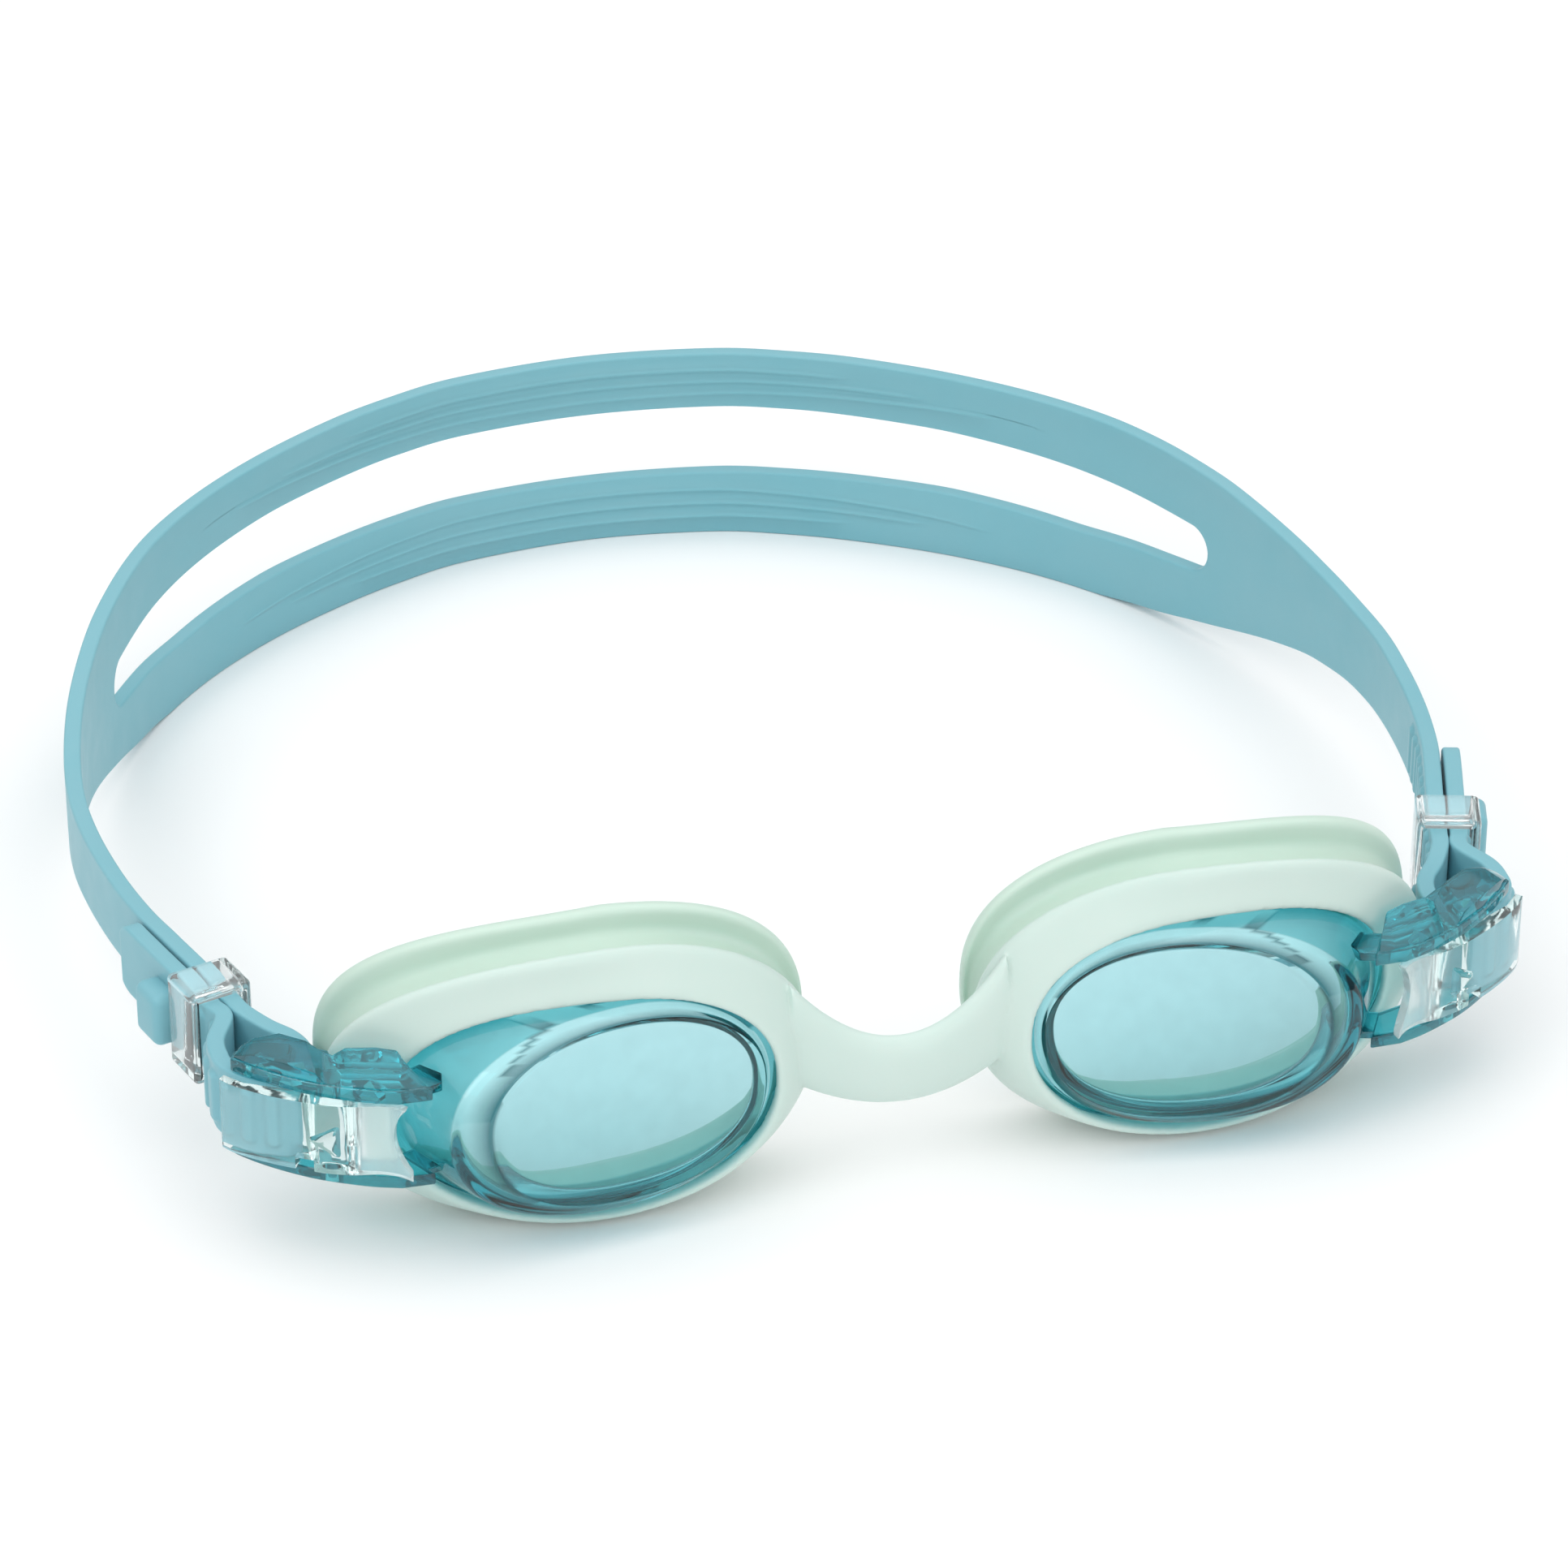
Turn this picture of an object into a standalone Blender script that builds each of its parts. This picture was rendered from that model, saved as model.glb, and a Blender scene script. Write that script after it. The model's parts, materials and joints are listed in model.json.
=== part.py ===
"""Swim goggles lying on a table: lens cups with temple arms, silicone frame, gaskets, strap, cam levers and keepers.

The wearer looks along -Y, the strap runs back along +Y, and +X is the right-hand side seen from the front.
Dimensions are millimetres, and MM turns them into metres. The right-hand side is drawn and the left is its mirror.
"""

import math
from collections import namedtuple

import bmesh
import bpy
import numpy as np
from mathutils import Matrix, Vector

MM = 0.001
FRONT_TO_CENTRE = 81.82  # from the front of the lenses back to the middle of the whole length
GAP = 0.3  # between touching pieces

# An oval seen from the front: centre, its reach to the nose, the temple, up and down, and the powers of its upper
# and lower halves. A power of 2 is an ellipse, and more is squarer.
Oval = namedtuple("Oval", "x z nose temple up down upper_power lower_power")
OVAL_POINTS = 64

WINDOW = Oval(32.7, 16.5, 16.3, 16.3, 10.2, 10.7, 2.1, 2.25)
BEZEL = Oval(33.6, 16.0, 17.9, 19.4, 11.4, 12.2, 2.15, 2.25)
OPENING = Oval(36.0, 15.7, 21.1, 22.5, 12.8, 14.0, 2.3, 2.08)
SKIRT = Oval(36.0, 17.0, 26.6, 29.0, 17.0, 16.9, 2.1, 2.25)
LIP = Oval(36.0, 18.0, 26.7, 28.8, 18.0, 18.0, 2.4, 2.25)

LENS_WALL = 1.6
BEZEL_DEPTH = 1.9
FRAME_LIP = 1.5
FLANGE_FRONT = FRAME_LIP + GAP
FLANGE_BACK = FLANGE_FRONT + 1.1
FLANGE_REACH = (1.3, 0.6, 1.5, -0.15)  # past the frame opening at the nose, temple, top and bottom

# The temple arm: two plates with a rear bar between them, in plan.
ARM_MIDDLE = 16.3  # height of the arm, the lever and the strap at the buckle
PIVOT = Vector((65.2, 6.4))
ARM_ANGLE = math.radians(27)
PLATE_INNER = 4.8  # from the arm's middle to each plate's inner face
PLATE_OUTER = 6.5
PLATE_OUTER_EDGE = [
    (54.7, 1.3), (58.5, 1.4), (61.4, 2.4), (64.3, 3.8), (67.4, 5.6), (70.4, 7.9), (73.1, 10.4), (75.3, 12.9),
]
PLATE_REAR_EDGE = [(74.6, 14.3), (71.8, 15.2), (68.8, 15.0), (66.2, 13.2)]
PLATE_INNER_EDGE = [(64.4, 11.8), (64.4, 9.4), (63.2, 8.4), (60.0, 7.2), (57.4, 6.4), (56.4, 4.5)]
# The upper plate slopes up in front of the pivot, from its outer edge to its inner one.
SHOULDER_OUTER = [(54.9, 1.4), (58.5, 1.7), (61.0, 2.5), (63.0, 3.3)]
SHOULDER_INNER = [(56.6, 4.4), (57.6, 6.3), (60.0, 7.1), (63.1, 8.2)]
SHOULDER_RISES = (0.5, 2.6, 2.6, 2.3)
ROOT_EDGE = [(57.4, 6.4), (55.0, 7.4), (53.0, 5.0), (53.4, 3.0)]
BUMP_OUTLINE = [(67.4, 8.0), (70.2, 8.4), (74.4, 12.8), (72.4, 14.4), (69.2, 14.4), (67.2, 11.6)]
BUMP_HEIGHT = 2.1
BAR_CENTRE = (8.0, -3.8)  # along the arm from the pivot, and outward
BAR_HALF_LENGTH = 1.5
BAR_RADIUS = 0.9
PIN_RADIUS = 1.0
PIVOT_HOLE_RADIUS = 1.35

# The lever in plan, along the arm from its pivot and outward.
LEVER_HALF_HEIGHT = 4.5
LEVER_OUTER = [
    (-9.8, 2.4), (-8.2, 1.8), (-6.0, 1.7), (-3.0, 2.5), (0.0, 2.8),
    (3.0, 2.65), (6.0, 2.3), (9.0, 1.7), (11.5, 0.9), (12.9, 0.1),
]
LEVER_INNER = [
    (12.6, -0.8), (11.5, -0.3), (10.0, 0.3), (3.4, 0.3), (1.6, -1.1),
    (0.0, -1.4), (-1.6, -1.1), (-3.2, 0.4), (-6.0, 0.5), (-8.2, 0.7), (-9.5, 1.3),
]

# The strap, from the middle of the back round to the keeper, as its middle line in plan.
STRAP_THICKNESS = 2.1
STRAP_HALF_WIDTH = 4.55  # at the buckle
STRAP_MAIN = [
    (0.0, 164.7), (17.0, 162.8), (27.2, 159.2), (37.0, 154.2), (47.4, 147.4), (56.9, 139.2), (64.7, 130.0),
    (70.6, 120.0), (75.2, 110.0), (78.9, 99.0), (81.2, 88.0), (82.2, 78.0), (81.9, 69.0), (80.7, 59.0),
    (78.9, 50.0), (77.0, 43.5),
]
KEEPER_POINT = Vector((73.3, 31.6))  # on the inner layer
KEEPER_WAY = Vector((0.29, 0.957)).normalized()  # rearward along the strap at the keeper
KEEPER_OUT = Vector((KEEPER_WAY.y, -KEEPER_WAY.x))
LAYER_STEP = STRAP_THICKNESS + GAP
STRAIGHT_FRONT = 6.0  # the layers run straight this far in front of the keeper's middle
STRAIGHT_BACK = 6.2
INNER_BULGE = [(69.5, 22.1), (67.5, 19.4), (66.6, 16.9), (66.7, 14.4)]
OUTER_BULGE = [(75.3, 15.0), (75.8, 17.4), (75.6, 20.6)]
TAIL_LENGTH = 18.5  # behind the keeper's middle
# Distance from the middle of the back, bottom edge and top edge.
STRAP_EDGES = [
    (0, 0.0, 27.0), (35, 0.0, 27.0), (74, 0.0, 26.0), (85, 1.3, 25.4), (95, 3.4, 24.4), (105, 6.0, 22.8),
    (115, 8.4, 21.4), (125, 9.8, 20.5), (140, 10.6, 20.2), (155, 11.3, 20.5), (166, 11.75, 20.85),
]
# Distance from the middle of the back, slot bottom and slot top.
SLOT_EDGES = [(0, 9.0, 18.9), (30, 9.3, 19.1), (50, 9.4, 18.7), (70, 8.6, 17.7), (84, 9.4, 16.8), (93, 10.2, 16.2)]
SLOT_END = 93.0
SLOT_END_RADIUS = 3.0
RIB_ENDS = (36.0, 47.0, 57.0)
RIB_PLACES = (0.27, 0.51, 0.76)  # across a band, from its outer edge, at the middle of the back
RIB_END_PLACES = (0.28, 0.45, 0.55)
RIB_HEIGHT = 0.35
RIB_HALF_WIDTH = 0.4
TOOTH_PITCH = 2.6
TOOTH_HEIGHT = 0.5
TEETH_BACK = 26.0  # the teeth reach this far behind the keeper's middle
LUG_START = 3.7  # behind the keeper's middle
LUG_LENGTH = 5.6
LUG_HEIGHT = 3.0

KEEPER_LENGTH = 6.6
KEEPER_WALL = 0.8
KEEPER_CAP = 1.1
KEEPER_ROOM = 2 * STRAP_THICKNESS + 2 * TOOTH_HEIGHT + 3 * GAP

COLOURS = {
    "frame": ((0.62, 0.77, 0.72), 0.45, 0.0),
    "gasket": ((0.64, 0.80, 0.69), 0.45, 0.0),
    "lens": ((0.10, 0.52, 0.58), 0.05, 0.85),
    "lever": ((0.90, 0.94, 0.94), 0.08, 0.9),
    "keeper": ((0.90, 0.94, 0.94), 0.08, 0.9),
    "strap": ((0.22, 0.47, 0.54), 0.5, 0.0),
}


# ---------------------------------------------------------------- scene


def clear_scene():
    for obj in list(bpy.data.objects):
        bpy.data.objects.remove(obj, do_unlink=True)


def new_collection(name):
    collection = bpy.data.collections.new(name)
    bpy.context.scene.collection.children.link(collection)
    return collection


def new_material(name):
    colour, roughness, transmission = COLOURS[name]
    material = bpy.data.materials.new(name)
    material.use_nodes = True
    shader = material.node_tree.nodes["Principled BSDF"]
    shader.inputs["Base Color"].default_value = (*colour, 1.0)
    shader.inputs["Roughness"].default_value = roughness
    shader.inputs["Metallic"].default_value = 0.0
    shader.inputs["Transmission Weight"].default_value = transmission
    return material


clear_scene()
PARTS = new_collection("swim_goggles")
CUTTERS = new_collection("cutters")
ROOT = bpy.data.objects.new("goggles_origin", None)
ROOT.location = (0.0, -FRONT_TO_CENTRE * MM, 0.0)
PARTS.objects.link(ROOT)
MATERIALS = {name: new_material(name) for name in COLOURS}


# ---------------------------------------------------------------- building blocks


def add_mesh(name, points, faces, material=None):
    """A closed mesh from points in millimetres: a part when it has a material, and a helper for Booleans when not."""
    mesh = bpy.data.meshes.new(name)
    mesh.from_pydata([Vector(p) * MM for p in points], [], faces)
    edit = bmesh.new()
    edit.from_mesh(mesh)
    bmesh.ops.recalc_face_normals(edit, faces=edit.faces)
    edit.to_mesh(mesh)
    edit.free()
    obj = bpy.data.objects.new(name, mesh)
    obj.parent = ROOT
    if material:
        mesh.materials.append(MATERIALS[material])
        PARTS.objects.link(obj)
    else:
        CUTTERS.objects.link(obj)
        obj.hide_render = True
        obj.display_type = "WIRE"
    return obj


def loft(name, rings, material=None, looped=False):
    """Skins rings of equal length. A looped loft closes on its first ring, and any other gets flat ends."""
    count = len(rings[0])
    points = [point for ring in rings for point in ring]
    faces = []
    for ring in range(len(rings) if looped else len(rings) - 1):
        start = ring * count
        following = (ring + 1) % len(rings) * count
        for k in range(count):
            after = (k + 1) % count
            faces.append((start + k, start + after, following + after, following + k))
    if not looped:
        faces.append(tuple(range(count)))
        faces.append(tuple(range(len(points) - count, len(points))))
    return add_mesh(name, points, faces, material)


def prism(name, outline, bottom, top, material=None, side=1):
    rings = [[(side * x, y, z) for x, y in outline] for z in (bottom, top)]
    return loft(name, rings, material)


def box(name, size, centre, turn=0.0):
    """A helper box of a given size, turned about the vertical and then moved."""
    edit = bmesh.new()
    placed = Matrix.Translation(Vector(centre) * MM) @ Matrix.Rotation(turn, 4, "Z")
    bmesh.ops.create_cube(edit, size=1.0)
    bmesh.ops.scale(edit, vec=Vector(size) * MM, verts=edit.verts)
    bmesh.ops.transform(edit, matrix=placed, verts=edit.verts)
    return from_edit(name, edit)


def cylinder(name, radius, length, placed):
    """A helper cylinder along its own Z, placed by a matrix whose move is in millimetres."""
    edit = bmesh.new()
    bmesh.ops.create_cone(
        edit, cap_ends=True, segments=32, radius1=radius * MM, radius2=radius * MM, depth=length * MM
    )
    placed = placed.copy()
    placed.translation = placed.translation * MM
    bmesh.ops.transform(edit, matrix=placed, verts=edit.verts)
    return from_edit(name, edit)


def from_edit(name, edit):
    obj = add_mesh(name, [], [])
    bmesh.ops.recalc_face_normals(edit, faces=edit.faces)
    edit.to_mesh(obj.data)
    edit.free()
    return obj


def combine(obj, other, operation):
    modifier = obj.modifiers.new(operation.title(), "BOOLEAN")
    modifier.operation = operation
    modifier.solver = "EXACT"
    modifier.object = other


def bevel(obj, width, segments=2, angle=35.0):
    modifier = obj.modifiers.new("Bevel", "BEVEL")
    modifier.width = width * MM
    modifier.segments = segments
    modifier.limit_method = "ANGLE"
    modifier.angle_limit = math.radians(angle)


def set_origin(obj, x, y, z):
    """Moves an object's origin to a point in millimetres without moving the object."""
    point = Vector((x, y, z)) * MM
    obj.data.transform(Matrix.Translation(-point))
    obj.location = point


def side_name(name, side):
    return f"{name}_{'right' if side > 0 else 'left'}"


# ---------------------------------------------------------------- eye cups


def grown(oval, nose, temple=None, up=None, down=None):
    temple, up, down = (nose if reach is None else reach for reach in (temple, up, down))
    return oval._replace(
        nose=oval.nose + nose, temple=oval.temple + temple, up=oval.up + up, down=oval.down + down
    )


def halfway(first, second):
    return Oval(*((a + b) / 2 for a, b in zip(first, second)))


def beyond_middle(x):
    return max(0.0, x - 33.0)


def window_y(x, z):
    return 1.23 - 0.154 * (x - 33.0) + 0.171 * (z - 17.5)


def opening_y(x, z):
    return 3.6 + 0.07 * (z - 15.5) + 0.0062 * beyond_middle(x) ** 2


def bezel_y(x, z):
    return min(window_y(x, z) + BEZEL_DEPTH, opening_y(x, z) + FRAME_LIP)


def skirt_y(x, z):
    return 7.6 - 0.10 * (x - 33.0) + 0.0100 * beyond_middle(x) ** 2


def shoulder_y(x, z):
    return 0.72 * opening_y(x, z) + 0.28 * skirt_y(x, z)


def lip_y(x, z):
    return 15.7 - 0.14 * beyond_middle(x) + 0.0100 * beyond_middle(x) ** 2 - 0.005 * (z - 18.0) ** 2


def oval_ring(oval, depth, shift, side):
    ring = []
    for k in range(OVAL_POINTS):
        angle = 2 * math.pi * k / OVAL_POINTS
        power = oval.upper_power if math.sin(angle) > 0 else oval.lower_power
        across = math.copysign(abs(math.cos(angle)) ** (2 / power), math.cos(angle))
        upward = math.copysign(abs(math.sin(angle)) ** (2 / power), math.sin(angle))
        x = oval.x + across * (oval.temple if across > 0 else oval.nose)
        z = oval.z + upward * (oval.up if upward > 0 else oval.down)
        ring.append((side * x, depth(x, z) + shift, z))
    return ring


def flange(extra=0.0):
    return grown(OPENING, *(reach + extra for reach in FLANGE_REACH))


def frame_ring(name, side, material=None):
    """One eye's silicone rim: a front lip, the sloping skirt and the pocket that holds the lens flange."""
    pocket = flange(GAP)
    sections = [
        (OPENING, opening_y, FRAME_LIP),
        (OPENING, opening_y, 0.35),
        (grown(OPENING, 0.35), opening_y, 0.0),
        (grown(halfway(OPENING, SKIRT), 0.25, 0.25, 0.25, 0.1), shoulder_y, 0.0),
        (grown(SKIRT, -0.1), skirt_y, -1.6),
        (SKIRT, skirt_y, -0.7),
        (grown(SKIRT, -0.5), skirt_y, 0.0),
        (pocket, skirt_y, 0.0),
        (pocket, opening_y, FRAME_LIP),
    ]
    return loft(name, [oval_ring(*section, side) for section in sections], material, looped=True)


def bridge_ring(x):
    """The nose bridge's section at x: it arches, leans back at the top and thins into the rims."""
    top = 18.4 + 0.047 * x * x
    bottom = 10.2 + 0.020 * x * x
    middle = (top + bottom) / 2
    half_depth = 1.75 - 0.55 * (x / 13.5) ** 2
    centre_y = 4.8 + 2.4 * (x / 13.5) ** 2
    ring = []
    for k in range(20):
        angle = 2 * math.pi * k / 20
        upward = math.copysign(abs(math.sin(angle)) ** 0.8, math.sin(angle))
        z = middle + upward * (top - bottom) / 2
        ring.append((x, centre_y + half_depth * math.cos(angle) + 0.08 * (z - middle), z))
    return ring


def build_frame():
    frame = frame_ring("frame", 1, "frame")
    combine(frame, frame_ring("frame_left_half", -1), "UNION")
    stations = np.linspace(-13.5, 13.5, 19)
    combine(frame, loft("bridge", [bridge_ring(x) for x in stations]), "UNION")


def build_gasket(side):
    sections = [
        (grown(SKIRT, -1.0), skirt_y, GAP),
        (grown(SKIRT, -1.7), skirt_y, 1.7),
        (grown(SKIRT, -0.8), skirt_y, 3.6),
        (grown(LIP, -0.3), lip_y, -1.9),
        (LIP, lip_y, -1.1),
        (grown(LIP, -0.4), lip_y, -0.3),
        (grown(LIP, -1.1), lip_y, 0.0),
        (grown(LIP, -1.9), lip_y, -0.9),
        (grown(SKIRT, -3.4), skirt_y, 3.4),
        (grown(SKIRT, -3.1), skirt_y, GAP),
    ]
    rings = [oval_ring(*section, side) for section in sections]
    loft(side_name("gasket", side), rings, "gasket", looped=True)


# ---------------------------------------------------------------- lens with temple arm


def on_arm(along, outward):
    """A plan point from distances along the arm behind the pivot and outward from it."""
    way = Vector((math.cos(ARM_ANGLE), math.sin(ARM_ANGLE)))
    out = Vector((way.y, -way.x))
    return PIVOT + along * way + outward * out


def stadium(centre, half_length, radius, steps=8):
    points = []
    for end, start in ((1, -math.pi / 2), (-1, math.pi / 2)):
        for k in range(steps + 1):
            angle = start + math.pi * k / steps
            across = radius * math.sin(angle)
            points.append((centre[0] + end * half_length + radius * math.cos(angle), centre[1] + across))
    return points


def cup_rings(side):
    rim = grown(OPENING, -GAP)
    sections = [
        (WINDOW, window_y, 0.0),
        (BEZEL, bezel_y, 0.0),
        (rim, opening_y, FLANGE_FRONT),
        (flange(), opening_y, FLANGE_FRONT),
        (flange(), opening_y, FLANGE_BACK),
        (grown(rim, -LENS_WALL), opening_y, FLANGE_BACK),
        (grown(BEZEL, -LENS_WALL), bezel_y, LENS_WALL - 0.4),
        (grown(WINDOW, -1.2), window_y, LENS_WALL),
    ]
    return [oval_ring(*section, side) for section in sections]


def build_lens(side):
    lens = loft(side_name("lens", side), cup_rings(side), "lens")
    plate = PLATE_OUTER_EDGE + PLATE_REAR_EDGE + PLATE_INNER_EDGE
    root = PLATE_OUTER_EDGE[1:3] + ROOT_EDGE
    for name, up in (("upper", 1), ("lower", -1)):
        outer = PLATE_OUTER if up > 0 else PLATE_OUTER - 0.2
        inner_z = ARM_MIDDLE + up * PLATE_INNER
        outer_z = ARM_MIDDLE + up * outer
        web_z = ARM_MIDDLE + up * (outer - 0.6)
        combine(lens, prism(side_name(f"{name}_root", side), root, inner_z, web_z, side=side), "UNION")
        combine(lens, prism(side_name(f"{name}_plate", side), plate, inner_z, outer_z, side=side), "UNION")
    combine(lens, shoulder(side), "UNION")
    combine(lens, bump(side), "UNION")
    bar = [on_arm(*point) for point in stadium(BAR_CENTRE, BAR_HALF_LENGTH, BAR_RADIUS)]
    bottom = ARM_MIDDLE - PLATE_INNER - 0.5
    combine(lens, prism(side_name("bar", side), bar, bottom, bottom + 2 * PLATE_INNER + 1.0, side=side), "UNION")
    placed = Matrix.Translation((side * PIVOT.x, PIVOT.y, ARM_MIDDLE))
    hole = cylinder(side_name("pivot_hole", side), PIVOT_HOLE_RADIUS, 2 * PLATE_OUTER + 2.0, placed)
    combine(lens, hole, "DIFFERENCE")


def shoulder(side):
    """The slope on the front half of the upper plate, rising towards the lens."""
    top = ARM_MIDDLE + PLATE_OUTER
    rings = []
    for outer, inner, rise in zip(SHOULDER_OUTER, SHOULDER_INNER, SHOULDER_RISES):
        corners = ((outer, -0.8), (outer, 0.1), (inner, rise), (inner, -0.8))
        rings.append([(side * x, y, top + step) for (x, y), step in corners])
    return loft(side_name("shoulder", side), rings)


def bump(side):
    """The raised block at the back of the upper plate, narrower at its top."""
    middle = sum((Vector(point) for point in BUMP_OUTLINE), Vector((0.0, 0.0))) / len(BUMP_OUTLINE)
    base = ARM_MIDDLE + PLATE_OUTER - 0.4
    rings = []
    for shrink, z in ((1.0, base), (0.9, base + 0.4 + 0.6 * BUMP_HEIGHT), (0.6, base + 0.4 + BUMP_HEIGHT)):
        outline = [middle + (Vector(point) - middle) * shrink for point in BUMP_OUTLINE]
        rings.append([(side * x, y, z) for x, y in outline])
    return loft(side_name("bump", side), rings)


# ---------------------------------------------------------------- cam lever


def build_lever(side):
    """The clear lever: thumb pad at the front, cam face over the strap at the back, pins into both plates."""
    outline = [on_arm(*point) for point in LEVER_OUTER + LEVER_INNER]
    bottom = ARM_MIDDLE - LEVER_HALF_HEIGHT
    top = ARM_MIDDLE + LEVER_HALF_HEIGHT
    lever = prism(side_name("lever", side), outline, bottom, top, "lever", side)
    turn = ARM_ANGLE if side > 0 else math.pi - ARM_ANGLE

    bite = on_arm(-12.9, 2.0)
    across = Matrix.Rotation(turn, 4, "Z") @ Matrix.Rotation(math.pi / 2, 4, "X")
    placed = Matrix.Translation((side * bite.x, bite.y, ARM_MIDDLE)) @ across
    combine(lever, cylinder(side_name("pad_bite", side), 4.7, 8.0, placed), "DIFFERENCE")

    notch = on_arm(2.6, 1.5)
    notch_box = box(side_name("notch", side), (2.2, 8.0, 3.0), (side * notch.x, notch.y, bottom), turn)
    combine(lever, notch_box, "DIFFERENCE")
    bevel(lever, 0.3, 1)

    placed = Matrix.Translation((side * PIVOT.x, PIVOT.y, ARM_MIDDLE))
    pin = cylinder(side_name("pin", side), PIN_RADIUS, 2 * (PLATE_OUTER - 0.3), placed)
    combine(lever, pin, "UNION")
    combine(lever, boss(side, turn), "UNION")
    set_origin(lever, side * PIVOT.x, PIVOT.y, ARM_MIDDLE)


def boss(side, turn):
    """The rounded button in the middle of the lever's outer face."""
    edit = bmesh.new()
    middle = on_arm(-0.6, 2.35)
    size = Matrix.Diagonal((2.3 * MM, 1.2 * MM, 2.5 * MM, 1.0))
    where = Vector((side * middle.x, middle.y, ARM_MIDDLE - 0.4)) * MM
    placed = Matrix.Translation(where) @ Matrix.Rotation(turn, 4, "Z") @ size
    bmesh.ops.create_uvsphere(edit, u_segments=20, v_segments=12, radius=1.0, matrix=placed)
    return from_edit(side_name("boss", side), edit)


# ---------------------------------------------------------------- strap


def smooth_path(points, step=0.2):
    """A Catmull-Rom curve through plan points, as closely spaced points. It starts level, in the middle of the back."""
    points = [Vector(point) for point in points]
    mirrored = Vector((-points[1].x, points[1].y))
    padded = [mirrored, *points, 2 * points[-1] - points[-2]]
    path = []
    for before, start, end, after in zip(padded, padded[1:], padded[2:], padded[3:]):
        steps = max(2, round((end - start).length / step))
        for k in range(steps):
            t = k / steps
            path.append(
                0.5
                * (
                    2 * start
                    + (end - before) * t
                    + (2 * before - 5 * start + 4 * end - after) * t * t
                    + (3 * start - before - 3 * end + after) * t * t * t
                )
            )
    path.append(points[-1])
    return np.array(path)


def lengths_along(path):
    return np.concatenate([[0.0], np.cumsum(np.linalg.norm(np.diff(path, axis=0), axis=1))])


def resampled(path, distances):
    along = lengths_along(path)
    return np.stack([np.interp(distances, along, path[:, k]) for k in (0, 1)], axis=1)


def main_points():
    """The inner layer from the middle of the back to the front of its straight stretch."""
    stretch = [KEEPER_POINT + KEEPER_WAY * away for away in (STRAIGHT_BACK, 3.0, 0.0, -3.0, -STRAIGHT_FRONT)]
    return [*map(Vector, STRAP_MAIN), *stretch]


def turn_points():
    """Round the front of the arm's bar, from the inner layer to the outer one."""
    radius = BAR_RADIUS + GAP + STRAP_THICKNESS / 2
    front = BAR_CENTRE[0] - BAR_HALF_LENGTH
    points = []
    for degrees in (-70, -105, -140, -180, -220, -255, -285):
        angle = math.radians(degrees)
        points.append(on_arm(front + radius * math.cos(angle), BAR_CENTRE[1] + radius * math.sin(angle)))
    points[0] = on_arm(front + 1.0, BAR_CENTRE[1] - radius)
    points[-1] = on_arm(front + 3.0, BAR_CENTRE[1] + radius)
    return points


def tail_points(main):
    """The outer layer from the front of its straight stretch back to the tail, alongside the inner layer."""
    straight = [
        KEEPER_POINT + KEEPER_WAY * away + KEEPER_OUT * LAYER_STEP for away in (-STRAIGHT_FRONT, -3.0, 0.0, 3.0)
    ]
    along = lengths_along(main)
    keeper_at = along[np.argmin(np.linalg.norm(main - np.array(KEEPER_POINT), axis=1))]
    beside = []
    for away in (6.0, 9.0, 12.0, 15.0, TAIL_LENGTH):
        at = np.array([keeper_at - away - 0.3, keeper_at - away, keeper_at - away + 0.3])
        behind, here, ahead = resampled(main, at)
        way = Vector(behind - ahead).normalized()
        beside.append(Vector(here) + Vector((way.y, -way.x)) * (LAYER_STEP + 0.1))
    return straight + beside


def strap_half():
    """Stations of one half, from the middle of the back to the tail's end: points, distances and keeper distance."""
    main = smooth_path(main_points())
    path = smooth_path(
        [*main_points(), *map(Vector, INNER_BULGE), *turn_points(), *map(Vector, OUTER_BULGE), *tail_points(main)]
    )
    length = lengths_along(path)[-1]
    keeper_at = lengths_along(main)[-1] - STRAIGHT_FRONT
    teeth_from = keeper_at - TEETH_BACK
    plain = np.arange(0.0, teeth_from, 2.9)
    toothed = np.arange(teeth_from, length, TOOTH_PITCH / 3)
    ending = length - np.array([1.2, 0.5, 0.0])
    distances = np.concatenate([plain, toothed[toothed < length - 1.6], ending])
    return path, distances, keeper_at, length


def tooth_profile(distance, start, end):
    """0 in the valleys and 1 on the crests of the teeth between start and end."""
    inside = (distance > start) & (distance < end)
    return np.where(inside, np.abs(np.sin(math.pi * (distance - start) / TOOTH_PITCH)), 0.0)


def strap_section(point, out, low, high, toothed_side):
    """Eight points round the strap: thickness along out, width up, with the teeth on the side out points to."""
    half = STRAP_THICKNESS / 2
    cut = 0.35
    corners = [
        (half + toothed_side, low + cut), (half + toothed_side, high - cut), (half - cut, high), (cut - half, high),
        (-half, high - cut), (-half, low + cut), (cut - half, low), (half - cut, low),
    ]
    return [(point[0] + out[0] * t, point[1] + out[1] * t, z) for t, z in corners]


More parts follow.
